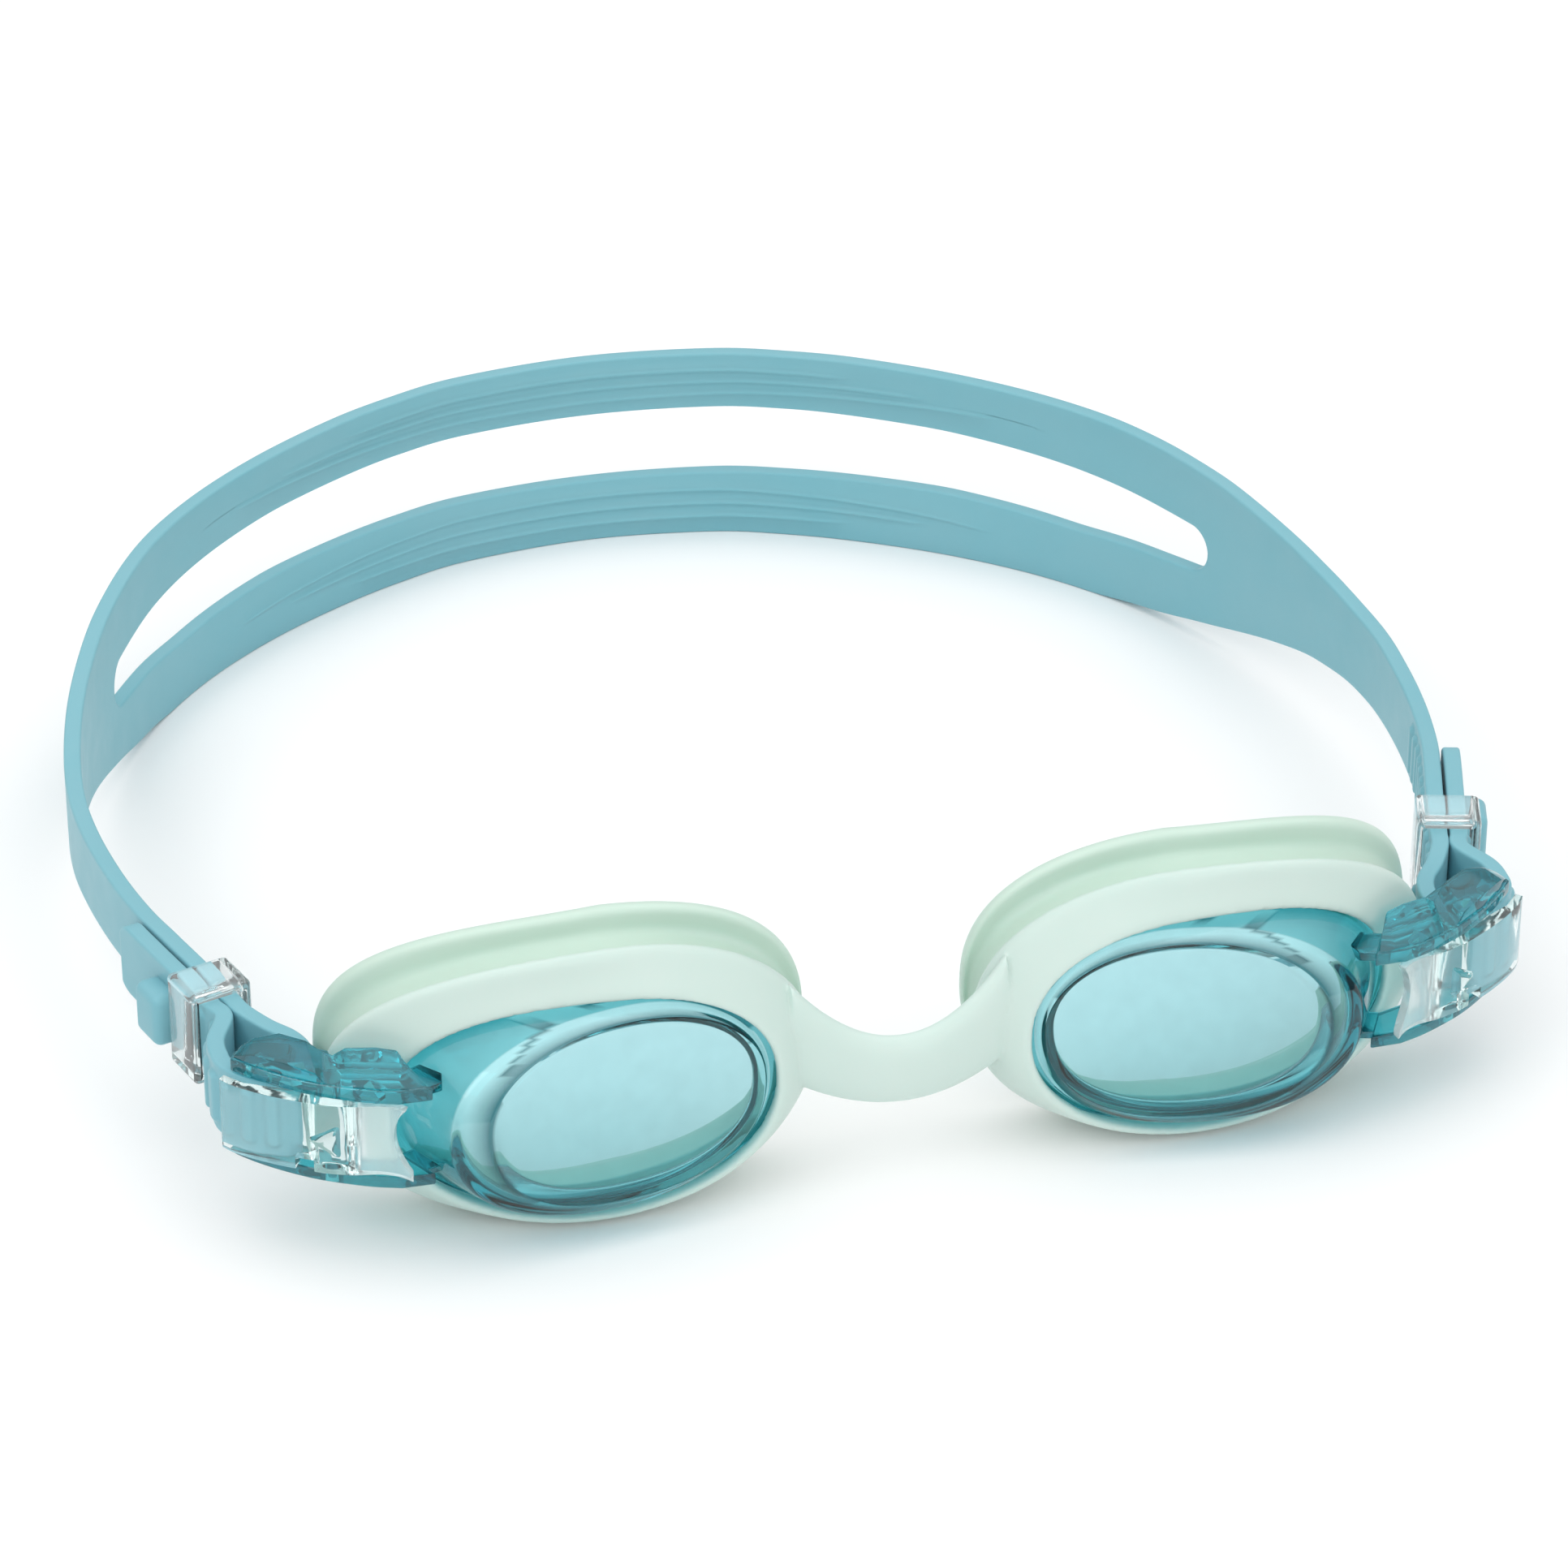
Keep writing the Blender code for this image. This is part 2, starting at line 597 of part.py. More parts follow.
def build_strap():
    path, distances, keeper_at, length = strap_half()
    points = resampled(path, distances)
    fine = resampled(path, np.concatenate([distances - 0.15, distances + 0.15]).clip(0.0, length))
    ways = fine[len(distances):] - fine[: len(distances)]
    ways /= np.linalg.norm(ways, axis=1)[:, None]
    head_side = np.stack([ways[:, 1], -ways[:, 0]], axis=1)
    edges = np.array(STRAP_EDGES)
    low = np.interp(distances, edges[:, 0], edges[:, 1])
    high = np.interp(distances, edges[:, 0], edges[:, 2])
    from_end = np.clip((length - distances) / 1.6, 0.0, 1.0)
    round_off = 1.6 * (1.0 - np.sqrt(1.0 - (1.0 - from_end) ** 2))
    low = low + round_off
    high = high - round_off
    teeth = TOOTH_HEIGHT * tooth_profile(distances, keeper_at - TEETH_BACK, length - 2.0)
    half = [
        strap_section(points[k], head_side[k], low[k], high[k], teeth[k]) for k in range(len(distances))
    ]
    mirrored = [[(-x, y, z) for x, y, z in section] for section in half[:0:-1]]
    strap = loft("strap", mirrored + half, "strap")
    add_slot(strap, path)
    add_ribs(strap, path)
    for side in (1, -1):
        add_lug(strap, side)


def swept(name, path, distances, inner, outer, low, high):
    """A helper bar that follows the back of the strap, from inner to outer millimetres off its middle line."""
    points = resampled_both(path, distances)
    rings = []
    for (x, y), (way_x, way_y), bottom, top in zip(points, ways_both(path, distances), low, high):
        inward = (way_y, -way_x)
        rings.append(
            [
                (x + inward[0] * off, y + inward[1] * off, z)
                for off, z in ((inner, bottom), (outer, bottom), (outer, top), (inner, top))
            ]
        )
    return loft(name, rings)


def resampled_both(path, distances):
    points = resampled(path, np.abs(distances))
    points[:, 0] *= np.where(distances < 0, -1.0, 1.0)
    return points


def ways_both(path, distances):
    ways = resampled_both(path, distances + 0.2) - resampled_both(path, distances - 0.2)
    return ways / np.linalg.norm(ways, axis=1)[:, None]


def add_slot(strap, path):
    edges = np.array(SLOT_EDGES)
    ends = SLOT_END - SLOT_END_RADIUS * (1 - np.cos(np.radians([0, 15, 30, 45, 60, 75, 90])))
    ends = ends[::-1]
    half = np.concatenate([np.arange(0.0, SLOT_END - SLOT_END_RADIUS - 1.5, 3.0), ends])
    distances = np.concatenate([-half[:0:-1], half])
    away = np.abs(distances)
    low = np.interp(away, edges[:, 0], edges[:, 1])
    high = np.interp(away, edges[:, 0], edges[:, 2])
    into_end = np.clip((away - SLOT_END + SLOT_END_RADIUS) / SLOT_END_RADIUS, 0.0, 1.0)
    full = np.maximum(np.sqrt(1.0 - into_end**2), 0.02)
    middle = (low + high) / 2
    reach = (high - low) / 2 * full
    cutter = swept("slot_cutter", path, distances, -4.0, 4.0, middle - reach, middle + reach)
    combine(strap, cutter, "DIFFERENCE")


def add_ribs(strap, path):
    strap_edges = np.array(STRAP_EDGES)
    slot_edges = np.array(SLOT_EDGES)
    face = STRAP_THICKNESS / 2
    for band in ("upper", "lower"):
        for number, (end, place, end_place) in enumerate(zip(RIB_ENDS, RIB_PLACES, RIB_END_PLACES), 1):
            distances = np.linspace(-end, end, 2 * round(end / 3.0) + 1)
            away = np.abs(distances)
            edge_column, slot_column = (2, 2) if band == "upper" else (1, 1)
            edge = np.interp(away, strap_edges[:, 0], strap_edges[:, edge_column])
            slot = np.interp(away, slot_edges[:, 0], slot_edges[:, slot_column])
            across = place + (end_place - place) * (away / end) ** 2
            middle = edge + (slot - edge) * across
            width = RIB_HALF_WIDTH * np.sqrt(np.clip(1.04 - (away / end) ** 8, 0.04, 1.0))
            name = f"{band}_rib_{number}"
            rib = swept(name, path, distances, face - 0.5, face + RIB_HEIGHT, middle - width, middle + width)
            combine(strap, rib, "UNION")


def add_lug(strap, side):
    """The stop behind the keeper, on the tail's outer face."""
    outward = LAYER_STEP + STRAP_THICKNESS / 2 - 0.6
    middle = KEEPER_POINT + KEEPER_WAY * (LUG_START + LUG_LENGTH / 2)
    middle = middle + KEEPER_OUT * (outward + (LUG_HEIGHT + 0.6) / 2)
    size = (LUG_HEIGHT + 0.6, LUG_LENGTH, 6.6)
    low = ARM_MIDDLE - STRAP_HALF_WIDTH + 0.2
    centre = (side * middle.x, middle.y, low + size[2] / 2)
    turn = side * math.atan2(KEEPER_OUT.y, KEEPER_OUT.x)
    lug = box(side_name("lug", side), size, centre, turn)
    bevel(lug, 0.7, 2)
    combine(strap, lug, "UNION")


# ---------------------------------------------------------------- keeper


def build_keeper(side):
    """The clear ring that holds the strap's two layers together."""
    middle = KEEPER_POINT + KEEPER_OUT * LAYER_STEP / 2
    centre = (side * middle.x, middle.y, ARM_MIDDLE)
    turn = side * math.atan2(KEEPER_OUT.y, KEEPER_OUT.x)
    height = 2 * (STRAP_HALF_WIDTH + GAP)
    size = (KEEPER_ROOM + 2 * KEEPER_WALL, KEEPER_LENGTH, height + 2 * KEEPER_CAP)
    keeper = box(side_name("keeper", side), size, centre, turn)
    CUTTERS.objects.unlink(keeper)
    PARTS.objects.link(keeper)
    keeper.hide_render = False
    keeper.display_type = "TEXTURED"
    keeper.data.materials.append(MATERIALS["keeper"])
    channel = box(side_name("channel", side), (KEEPER_ROOM, KEEPER_LENGTH + 2.0, height), centre, turn)
    combine(keeper, channel, "DIFFERENCE")
    bevel(keeper, 0.35, 2)
    set_origin(keeper, *centre)


build_frame()
build_strap()
for one_side in (1, -1):
    build_gasket(one_side)
    build_lens(one_side)
    build_lever(one_side)
    build_keeper(one_side)
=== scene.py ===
"""Swim goggles: the looks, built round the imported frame.

Shapes are drawn in millimetres, on the right-hand side seen from the front, and the left is their mirror.
In drawing coordinates x is 0 between the eyes, y is 0 near the front of the lenses and z is 0 on the table.
"""

import json
import math
from collections import namedtuple

import bmesh
import bpy
import numpy as np
from mathutils import Matrix, Vector

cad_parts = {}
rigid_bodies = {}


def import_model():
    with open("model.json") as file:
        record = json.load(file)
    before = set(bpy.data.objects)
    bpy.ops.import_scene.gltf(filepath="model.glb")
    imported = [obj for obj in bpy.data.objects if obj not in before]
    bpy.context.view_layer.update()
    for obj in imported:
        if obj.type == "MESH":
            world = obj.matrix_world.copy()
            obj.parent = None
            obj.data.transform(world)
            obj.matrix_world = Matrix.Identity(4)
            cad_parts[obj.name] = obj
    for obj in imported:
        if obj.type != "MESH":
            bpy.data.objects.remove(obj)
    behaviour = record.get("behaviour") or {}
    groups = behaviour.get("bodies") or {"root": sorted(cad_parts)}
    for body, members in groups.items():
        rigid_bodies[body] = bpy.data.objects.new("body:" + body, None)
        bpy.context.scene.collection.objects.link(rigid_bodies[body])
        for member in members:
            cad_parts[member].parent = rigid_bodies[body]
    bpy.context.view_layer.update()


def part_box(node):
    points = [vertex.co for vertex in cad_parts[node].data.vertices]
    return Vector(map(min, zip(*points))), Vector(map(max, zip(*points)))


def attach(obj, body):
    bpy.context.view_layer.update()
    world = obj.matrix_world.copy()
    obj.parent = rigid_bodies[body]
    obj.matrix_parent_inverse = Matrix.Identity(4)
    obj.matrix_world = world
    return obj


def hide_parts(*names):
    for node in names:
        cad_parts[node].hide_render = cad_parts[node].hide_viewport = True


for leftover in list(bpy.data.objects):
    bpy.data.objects.remove(leftover, do_unlink=True)
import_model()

MM = 0.001
STRAP_BACK = 165.75  # the drawing's y of the strap's rearmost face
ORIGIN_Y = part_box("strap")[1].y / MM - STRAP_BACK
BODY = "goggles"
GAP = 0.3

# ---------------------------------------------------------------- camera, floor and light

CAMERA_PLACE = (-0.1591, -0.63062, 0.3879)
CAMERA_AZIMUTH = -14.69
CAMERA_ELEVATION = 30.3
CAMERA_LENS = 139.3
FLOOR_SIZE = 12.0
FLOOR_COLOUR = (0.93, 0.93, 0.93, 1.0)
# Sky brightness by the sine of the height above the horizon: a wide soft light overhead, and dim low down.
SKY = [(0.0, 0.22), (0.26, 0.28), (0.52, 0.92), (1.0, 1.58)]
SOFTBOXES = [
    # name, place, size across and along, watts, aim
    ("key", (-0.8, -0.35, 0.75), (0.5, 0.5), 1.4, (0.0, 0.0, 0.0)),
    ("fill", (0.1, -1.3, 0.55), (0.8, 0.4), 3.4, (0.0, 0.0, 0.02)),
]


def make_camera():
    camera = bpy.data.cameras.new("camera")
    camera.lens = CAMERA_LENS
    camera.sensor_width = 36.0
    camera.clip_start = 0.05
    holder = bpy.data.objects.new("camera", camera)
    holder.location = CAMERA_PLACE
    holder.rotation_euler = (math.radians(90.0 - CAMERA_ELEVATION), 0.0, math.radians(CAMERA_AZIMUTH))
    bpy.context.scene.collection.objects.link(holder)
    bpy.context.scene.camera = holder


def make_lights():
    for name, place, size, watts, aim in SOFTBOXES:
        light = bpy.data.lights.new(name, "AREA")
        light.shape = "RECTANGLE"
        light.size, light.size_y = size
        light.energy = watts
        holder = bpy.data.objects.new(name, light)
        holder.location = place
        holder.rotation_euler = (Vector(place) - Vector(aim)).to_track_quat("Z", "Y").to_euler()
        bpy.context.scene.collection.objects.link(holder)
    world = bpy.data.worlds.new("studio")
    world.use_nodes = True
    nodes, links = world.node_tree.nodes, world.node_tree.links
    background = nodes["Background"]
    bpy.context.scene.world = world
    direction = nodes.new("ShaderNodeTexCoord")
    height = nodes.new("ShaderNodeSeparateXYZ")
    links.new(direction.outputs["Generated"], height.inputs[0])
    ramp = nodes.new("ShaderNodeValToRGB")
    brightest = max(level for _, level in SKY)
    while len(ramp.color_ramp.elements) < len(SKY):
        ramp.color_ramp.elements.new(0.5)
    for stop, (place, level) in zip(ramp.color_ramp.elements, SKY):
        stop.position = place
        stop.color = (*[level / brightest] * 3, 1.0)
    background.inputs["Strength"].default_value = brightest
    links.new(height.outputs["Z"], ramp.inputs["Fac"])
    links.new(ramp.outputs["Color"], background.inputs["Color"])
    bpy.context.scene.view_settings.view_transform = "Standard"


def make_floor():
    edit = bmesh.new()
    bmesh.ops.create_grid(edit, x_segments=1, y_segments=1, size=FLOOR_SIZE / 2)
    mesh = bpy.data.meshes.new("floor")
    edit.to_mesh(mesh)
    edit.free()
    floor = bpy.data.objects.new("floor", mesh)
    bpy.context.scene.collection.objects.link(floor)
    material = bpy.data.materials.new("floor_paper")
    material.use_nodes = True
    shader = material.node_tree.nodes["Principled BSDF"]
    shader.inputs["Base Color"].default_value = FLOOR_COLOUR
    shader.inputs["Roughness"].default_value = 0.9
    shader.inputs["Specular IOR Level"].default_value = 0.1
    mesh.materials.append(material)


# ---------------------------------------------------------------- materials

TINT = "tint"  # the colour of what passes through at each corner of the lens's mesh: the lens's own colours, with painted shade on its walls and a painted dark line at the window's edge
FROST = "frost"  # 1 where a clear piece is cloudier: the lever's thumb pad and the lens's arm
WINDOW_TINT = (0.72, 0.83, 0.86)
BEZEL_TINT = (0.86, 0.96, 0.98)
# The walls outside the bezel: the lens's own teal, darkened with painted shade.
WALL_TEAL_AND_PAINTED_SHADE = (0.10, 0.42, 0.47)
# Painted shade: a near-black line along the window's upper and temple edge, where the edge looks dark.
EDGE_LINE_PAINTED_SHADE = (0.02, 0.10, 0.12)
ARM_TINT = (0.13, 0.58, 0.64)


def new_material(name):
    material = bpy.data.materials.new(name)
    material.use_nodes = True
    return material, material.node_tree.nodes, material.node_tree.links


def noise(nodes, links, scale, detail=3.0, roughness=0.5):
    """A noise texture in the object's own coordinates, with scale waves to a metre."""
    place = nodes.new("ShaderNodeTexCoord")
    texture = nodes.new("ShaderNodeTexNoise")
    texture.inputs["Scale"].default_value = scale
    texture.inputs["Detail"].default_value = detail
    texture.inputs["Roughness"].default_value = roughness
    links.new(place.outputs["Object"], texture.inputs["Vector"])
    return texture.outputs["Fac"]


def mapped(nodes, links, source, low, high, from_low=0.3, from_high=0.7):
    """Stretches a value from one range to another. Noise keeps mostly between 0.3 and 0.7."""
    scaled = nodes.new("ShaderNodeMapRange")
    scaled.inputs["From Min"].default_value = from_low
    scaled.inputs["From Max"].default_value = from_high
    scaled.inputs["To Min"].default_value = low
    scaled.inputs["To Max"].default_value = high
    links.new(source, scaled.inputs["Value"])
    return scaled.outputs["Result"]


def mixed_colour(nodes, links, factor, first, second):
    mix = nodes.new("ShaderNodeMix")
    mix.data_type = "RGBA"
    mix.inputs[6].default_value = (*first, 1.0)
    mix.inputs[7].default_value = (*second, 1.0)
    links.new(factor, mix.inputs[0])
    return mix.outputs[2]


def bumped(nodes, links, shader, layers):
    """Chained bumps from (height socket, strength, distance in metres)."""
    normal = None
    for height, strength, distance in layers:
        bump = nodes.new("ShaderNodeBump")
        bump.inputs["Strength"].default_value = strength
        bump.inputs["Distance"].default_value = distance
        links.new(height, bump.inputs["Height"])
        if normal:
            links.new(normal, bump.inputs["Normal"])
        normal = bump.outputs["Normal"]
    links.new(normal, shader.inputs["Normal"])


def silicone(name, colour, shade, roughness, glow):
    """Moulded silicone: light that sinks in, a faint mould grain, and slow changes of tone and gloss."""
    material, nodes, links = new_material(name)
    shader = nodes["Principled BSDF"]
    cloud = mapped(nodes, links, noise(nodes, links, 55.0), 0.0, 1.0)
    links.new(mixed_colour(nodes, links, cloud, colour, shade), shader.inputs["Base Color"])
    smear = noise(nodes, links, 210.0, 4.0)
    links.new(mapped(nodes, links, smear, roughness - 0.05, roughness + 0.07), shader.inputs["Roughness"])
    shader.inputs["Subsurface Weight"].default_value = glow
    shader.inputs["Subsurface Radius"].default_value = (0.7, 1.0, 1.0)
    shader.inputs["Subsurface Scale"].default_value = 1.2 * MM
    shader.inputs["IOR"].default_value = 1.43
    shader.inputs["Sheen Weight"].default_value = 0.08
    shader.inputs["Sheen Roughness"].default_value = 0.5
    grain = (noise(nodes, links, 9000.0, 2.0), 0.10, 0.02 * MM)
    waves = (noise(nodes, links, 900.0, 3.0), 0.08, 0.05 * MM)
    bumped(nodes, links, shader, [grain, waves])
    return material


def clear_plastic(name, tint, roughness, haze, ior, absorb, density, shadow, ripple):
    """Clear moulding: what passes through is coloured by its thickness, and the surface is faintly uneven."""
    material, nodes, links = new_material(name)
    shader = nodes["Principled BSDF"]
    shader.inputs["Base Color"].default_value = (*tint, 1.0)
    shader.inputs["Transmission Weight"].default_value = 1.0 - haze
    shader.inputs["IOR"].default_value = ior
    scuffs = noise(nodes, links, 260.0, 5.0, 0.6)
    links.new(mapped(nodes, links, scuffs, roughness * 0.6, roughness * 1.5), shader.inputs["Roughness"])
    scale, strength = ripple
    bumped(nodes, links, shader, [(noise(nodes, links, scale, 2.0), strength, 0.1 * MM)])
    volume = nodes.new("ShaderNodeVolumeAbsorption")
    volume.inputs["Color"].default_value = (*absorb, 1.0)
    volume.inputs["Density"].default_value = density
    links.new(volume.outputs["Volume"], nodes["Material Output"].inputs["Volume"])
    path = nodes.new("ShaderNodeLightPath")
    lit = nodes.new("ShaderNodeBsdfTransparent")
    lit.inputs["Color"].default_value = (*shadow, 1.0)
    choose = nodes.new("ShaderNodeMixShader")
    links.new(path.outputs["Is Shadow Ray"], choose.inputs["Fac"])
    links.new(shader.outputs["BSDF"], choose.inputs[1])
    links.new(lit.outputs["BSDF"], choose.inputs[2])
    links.new(choose.outputs["Shader"], nodes["Material Output"].inputs["Surface"])
    return material


def tinted(material):
    """Colours what passes through a clear material by its TINT attribute, with a slow drift of tone."""
    nodes, links = material.node_tree.nodes, material.node_tree.links
    tint = nodes.new("ShaderNodeAttribute")
    tint.attribute_name = TINT
    drift = nodes.new("ShaderNodeMix")
    drift.data_type = "RGBA"
    drift.blend_type = "MULTIPLY"
    drift.inputs[0].default_value = 1.0
    cloud = mapped(nodes, links, noise(nodes, links, 420.0, 3.0), 0.94, 1.0)
    links.new(tint.outputs["Color"], drift.inputs[6])
    links.new(cloud, drift.inputs[7])
    links.new(drift.outputs[2], nodes["Principled BSDF"].inputs["Base Color"])
    return material


def frosted(material, clear, frost, rough):
    """Makes a clear material cloudier and rougher where its FROST attribute is 1."""
    nodes, links = material.node_tree.nodes, material.node_tree.links
    shader = nodes["Principled BSDF"]
    place = nodes.new("ShaderNodeAttribute")
    place.attribute_name = FROST
    clarity = mapped(nodes, links, place.outputs["Fac"], clear, frost, 0.0, 1.0)
    links.new(clarity, shader.inputs["Transmission Weight"])
    polish = nodes.new("ShaderNodeMath")
    polish.operation = "MULTIPLY_ADD"
    links.new(place.outputs["Fac"], polish.inputs[0])
    polish.inputs[1].default_value = rough
    links.new(shader.inputs["Roughness"].links[0].from_socket, polish.inputs[2])
    links.new(polish.outputs["Value"], shader.inputs["Roughness"])
    return material


def make_materials():
    lens = clear_plastic(
        "lens_polycarbonate", (1.0, 1.0, 1.0), 0.01, 0.0, 1.56,
        (0.10, 0.80, 0.84), 330.0, (0.40, 0.70, 0.74), (160.0, 0.02),
    )
    lever = clear_plastic(
        "lever_polycarbonate", (0.94, 0.98, 0.98), 0.05, 0.04, 1.5,
        (0.85, 0.97, 0.96), 110.0, (0.92, 0.96, 0.96), (700.0, 0.15),
    )
    keeper = clear_plastic(
        "keeper_polycarbonate", (0.99, 1.0, 1.0), 0.04, 0.06, 1.5,
        (0.85, 0.97, 0.96), 60.0, (0.92, 0.96, 0.96), (700.0, 0.12),
    )
    return {
        "frame": silicone("frame_silicone", (0.60, 0.725, 0.675), (0.57, 0.705, 0.655), 0.42, 0.25),
        "gasket": silicone("gasket_silicone", (0.585, 0.735, 0.645), (0.56, 0.715, 0.625), 0.42, 0.22),
        "strap": silicone("strap_silicone", (0.205, 0.455, 0.522), (0.185, 0.450, 0.520), 0.46, 0.15),
        "lens": frosted(tinted(lens), 1.0, 0.88, 0.01),
        "lever": frosted(lever, 0.98, 0.80, 0.18),
        "keeper": keeper,
    }


# ---------------------------------------------------------------- mesh building blocks


def placed(points, side=1):
    """Drawing points as row-frame metres, mirrored for the left-hand side."""
    points = np.asarray(points, float) * (side, 1.0, 1.0)
    return (points + (0.0, ORIGIN_Y, 0.0)) * MM


def make_object(name, points, faces, side=1, sharp=35.0, merge=0.0):
    mesh = bpy.data.meshes.new(name)
    mesh.from_pydata(placed(points, side).tolist(), [], faces)
    edit = bmesh.new()
    edit.from_mesh(mesh)
    if merge:
        bmesh.ops.remove_doubles(edit, verts=edit.verts, dist=merge * MM)
        bmesh.ops.dissolve_degenerate(edit, edges=edit.edges, dist=merge * MM)
    bmesh.ops.recalc_face_normals(edit, faces=edit.faces)
    edit.to_mesh(mesh)
    edit.free()
    obj = bpy.data.objects.new(name, mesh)
    bpy.context.scene.collection.objects.link(obj)
    shade(obj, sharp)
    return obj


def shade(obj, sharp=35.0):
    obj.data.shade_smooth()
    obj.data.set_sharp_from_angle(angle=math.radians(sharp))


def loft_faces(rings, count, looped):
    faces = []
    for ring in range(rings if looped else rings - 1):
        here = ring * count
        there = (ring + 1) % rings * count
        for k in range(count):
            after = (k + 1) % count
            faces.append((here + k, here + after, there + after, there + k))
    return faces


def loft(name, rings, side=1, looped=False, sharp=35.0):
    """Skins rings of equal length. A looped loft closes on its first ring, and any other gets flat ends."""
    rings = np.asarray(rings, float)
    number, count = rings.shape[:2]
    faces = loft_faces(number, count, looped)
    if not looped:
        faces.append(tuple(range(count)))
        faces.append(tuple(range((number - 1) * count, number * count)))
    return make_object(name, rings.reshape(-1, 3), faces, side, sharp)


def filleted(rings, radii, steps=3, looped=True):
    """Rounds each ring of a loft, seen as a corner of its profile, by a curve that starts radius away."""
    rings = [np.asarray(ring, float) for ring in rings]
    number = len(rings)
    out = []
    for k, (here, radius) in enumerate(zip(rings, radii)):
        if not looped and k in (0, number - 1):
            out.append(here)
            continue
        back = rings[k - 1] - here
        ahead = rings[(k + 1) % number] - here
        back_length = np.maximum(np.linalg.norm(back, axis=1, keepdims=True), 1e-6)
        ahead_length = np.maximum(np.linalg.norm(ahead, axis=1, keepdims=True), 1e-6)
        start = here + back / back_length * np.minimum(radius, 0.46 * back_length)
        end = here + ahead / ahead_length * np.minimum(radius, 0.46 * ahead_length)
        for t in np.linspace(0.0, 1.0, steps + 1):
            out.append((1 - t) ** 2 * start + 2 * t * (1 - t) * here + t**2 * end)
    return out


def evaluated(obj):
    """Bakes an object's modifiers into a fresh mesh of its own."""
    mesh = bpy.data.meshes.new_from_object(obj.evaluated_get(bpy.context.evaluated_depsgraph_get()))
    obj.modifiers.clear()
    obj.data = mesh
    return obj


def combine(obj, other, operation):
    """Cuts or joins other into obj at once, and removes other."""
    modifier = obj.modifiers.new(operation.title(), "BOOLEAN")
    modifier.operation = operation
    modifier.solver = "EXACT"
    modifier.object = other
    evaluated(obj)
    bpy.data.objects.remove(other, do_unlink=True)


def bevel(obj, width, segments=3, angle=35.0):
    modifier = obj.modifiers.new("Bevel", "BEVEL")
    modifier.width = width * MM
    modifier.segments = segments
    modifier.limit_method = "ANGLE"
    modifier.angle_limit = math.radians(angle)
    evaluated(obj)


def prism(name, outline, bottom, top, side=1, rounding=0.0):
    outline = np.asarray(outline, float)
    rings = [np.column_stack([outline, np.full(len(outline), z)]) for z in (bottom, top)]
    obj = loft(name, rings, side)
    if rounding:
        bevel(obj, rounding)
    return obj


def shaped(name, build, matrix, side=1):
    """A bmesh primitive made by build(edit), put at a drawing matrix whose move is in millimetres."""
    edit = bmesh.new()
    build(edit)
    bmesh.ops.transform(edit, matrix=matrix, verts=edit.verts)
    points = [vertex.co[:] for vertex in edit.verts]
    faces = [[vertex.index for vertex in face.verts] for face in edit.faces]
    edit.free()
    return make_object(name, points, faces, side)


def drum(name, segments, bottom_radius, top_radius, depth, matrix, side):
    return shaped(
        name,
        lambda edit: bmesh.ops.create_cone(
            edit, cap_ends=True, segments=segments, radius1=bottom_radius, radius2=top_radius, depth=depth
        ),
        matrix,
        side,
    )


def box(name, size, matrix, side):
    matrix = matrix @ Matrix.Diagonal((*size, 1.0))
    return shaped(name, lambda edit: bmesh.ops.create_cube(edit, size=1.0), matrix, side)


def turned_about_z(x, y, z, angle):
    return Matrix.Translation((x, y, z)) @ Matrix.Rotation(angle, 4, "Z")


def smooth_curve(points, step=0.2, first_before=None):
    """A Catmull-Rom curve through plan points, as closely spaced points."""
    points = [np.array(point, float) for point in points]
    before = 2 * points[0] - points[1] if first_before is None else np.array(first_before, float)
    padded = [before, *points, 2 * points[-1] - points[-2]]
    curve = []
    for a, b, c, d in zip(padded, padded[1:], padded[2:], padded[3:]):
        steps = max(2, round(float(np.linalg.norm(c - b)) / step))
        for t in np.arange(steps) / steps:
            bend = (2 * a - 5 * b + 4 * c - d) * t * t + (3 * b - a - 3 * c + d) * t**3
            curve.append(0.5 * (2 * b + (c - a) * t + bend))
    curve.append(points[-1])
    return np.array(curve)


def finish_piece(obj, material, body, slot, *nodes):
    obj.data.materials.clear()
    obj.data.materials.append(MATERIALS[material])
    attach(obj, body)
    if nodes:
        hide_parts(*nodes)


def side_name(name, side):
    return f"{name}_{'right' if side > 0 else 'left'}"


# ---------------------------------------------------------------- eye cups: ovals and depths

# Centre, reach to the nose, the temple, up and down, and the powers of the upper and lower halves.
# A power of 2 is an ellipse, and more is squarer.
Oval = namedtuple("Oval", "x z nose temple up down upper_power lower_power")
OVAL_POINTS = 168

WINDOW = Oval(32.7, 16.5, 16.3, 16.3, 10.2, 10.7, 2.1, 2.25)
BEZEL = Oval(33.6, 16.0, 17.9, 19.4, 11.4, 12.2, 2.15, 2.25)
OPENING = Oval(36.0, 15.7, 21.1, 22.5, 12.8, 14.0, 2.3, 2.08)
SKIRT = Oval(36.0, 17.0, 26.6, 29.0, 17.0, 16.9, 2.1, 2.25)
LIP = Oval(36.0, 18.0, 26.7, 28.8, 18.0, 18.0, 2.4, 2.25)

LENS_WALL = 1.6
BEZEL_DEPTH = 1.9
SKIRT_SHARE = 0.28  # how far back the rim's rounded shoulder lies between the opening and the skirt
FRAME_LIP = 1.5
FLANGE_FRONT = FRAME_LIP + GAP
FLANGE_BACK = FLANGE_FRONT + 1.1
FLANGE_REACH = (1.3, 0.6, 1.5, -0.15)  # past the frame opening at the nose, temple, top and bottom


def grown(oval, nose, temple=None, up=None, down=None):
    temple, up, down = (nose if reach is None else reach for reach in (temple, up, down))
    return oval._replace(
        nose=oval.nose + nose, temple=oval.temple + temple, up=oval.up + up, down=oval.down + down
    )


def halfway(first, second):
    return Oval(*((a + b) / 2 for a, b in zip(first, second)))


def beyond_middle(x):
    return np.maximum(0.0, x - 33.0)


def window_y(x, z):
    return 1.23 - 0.154 * (x - 33.0) + 0.171 * (z - 17.5)


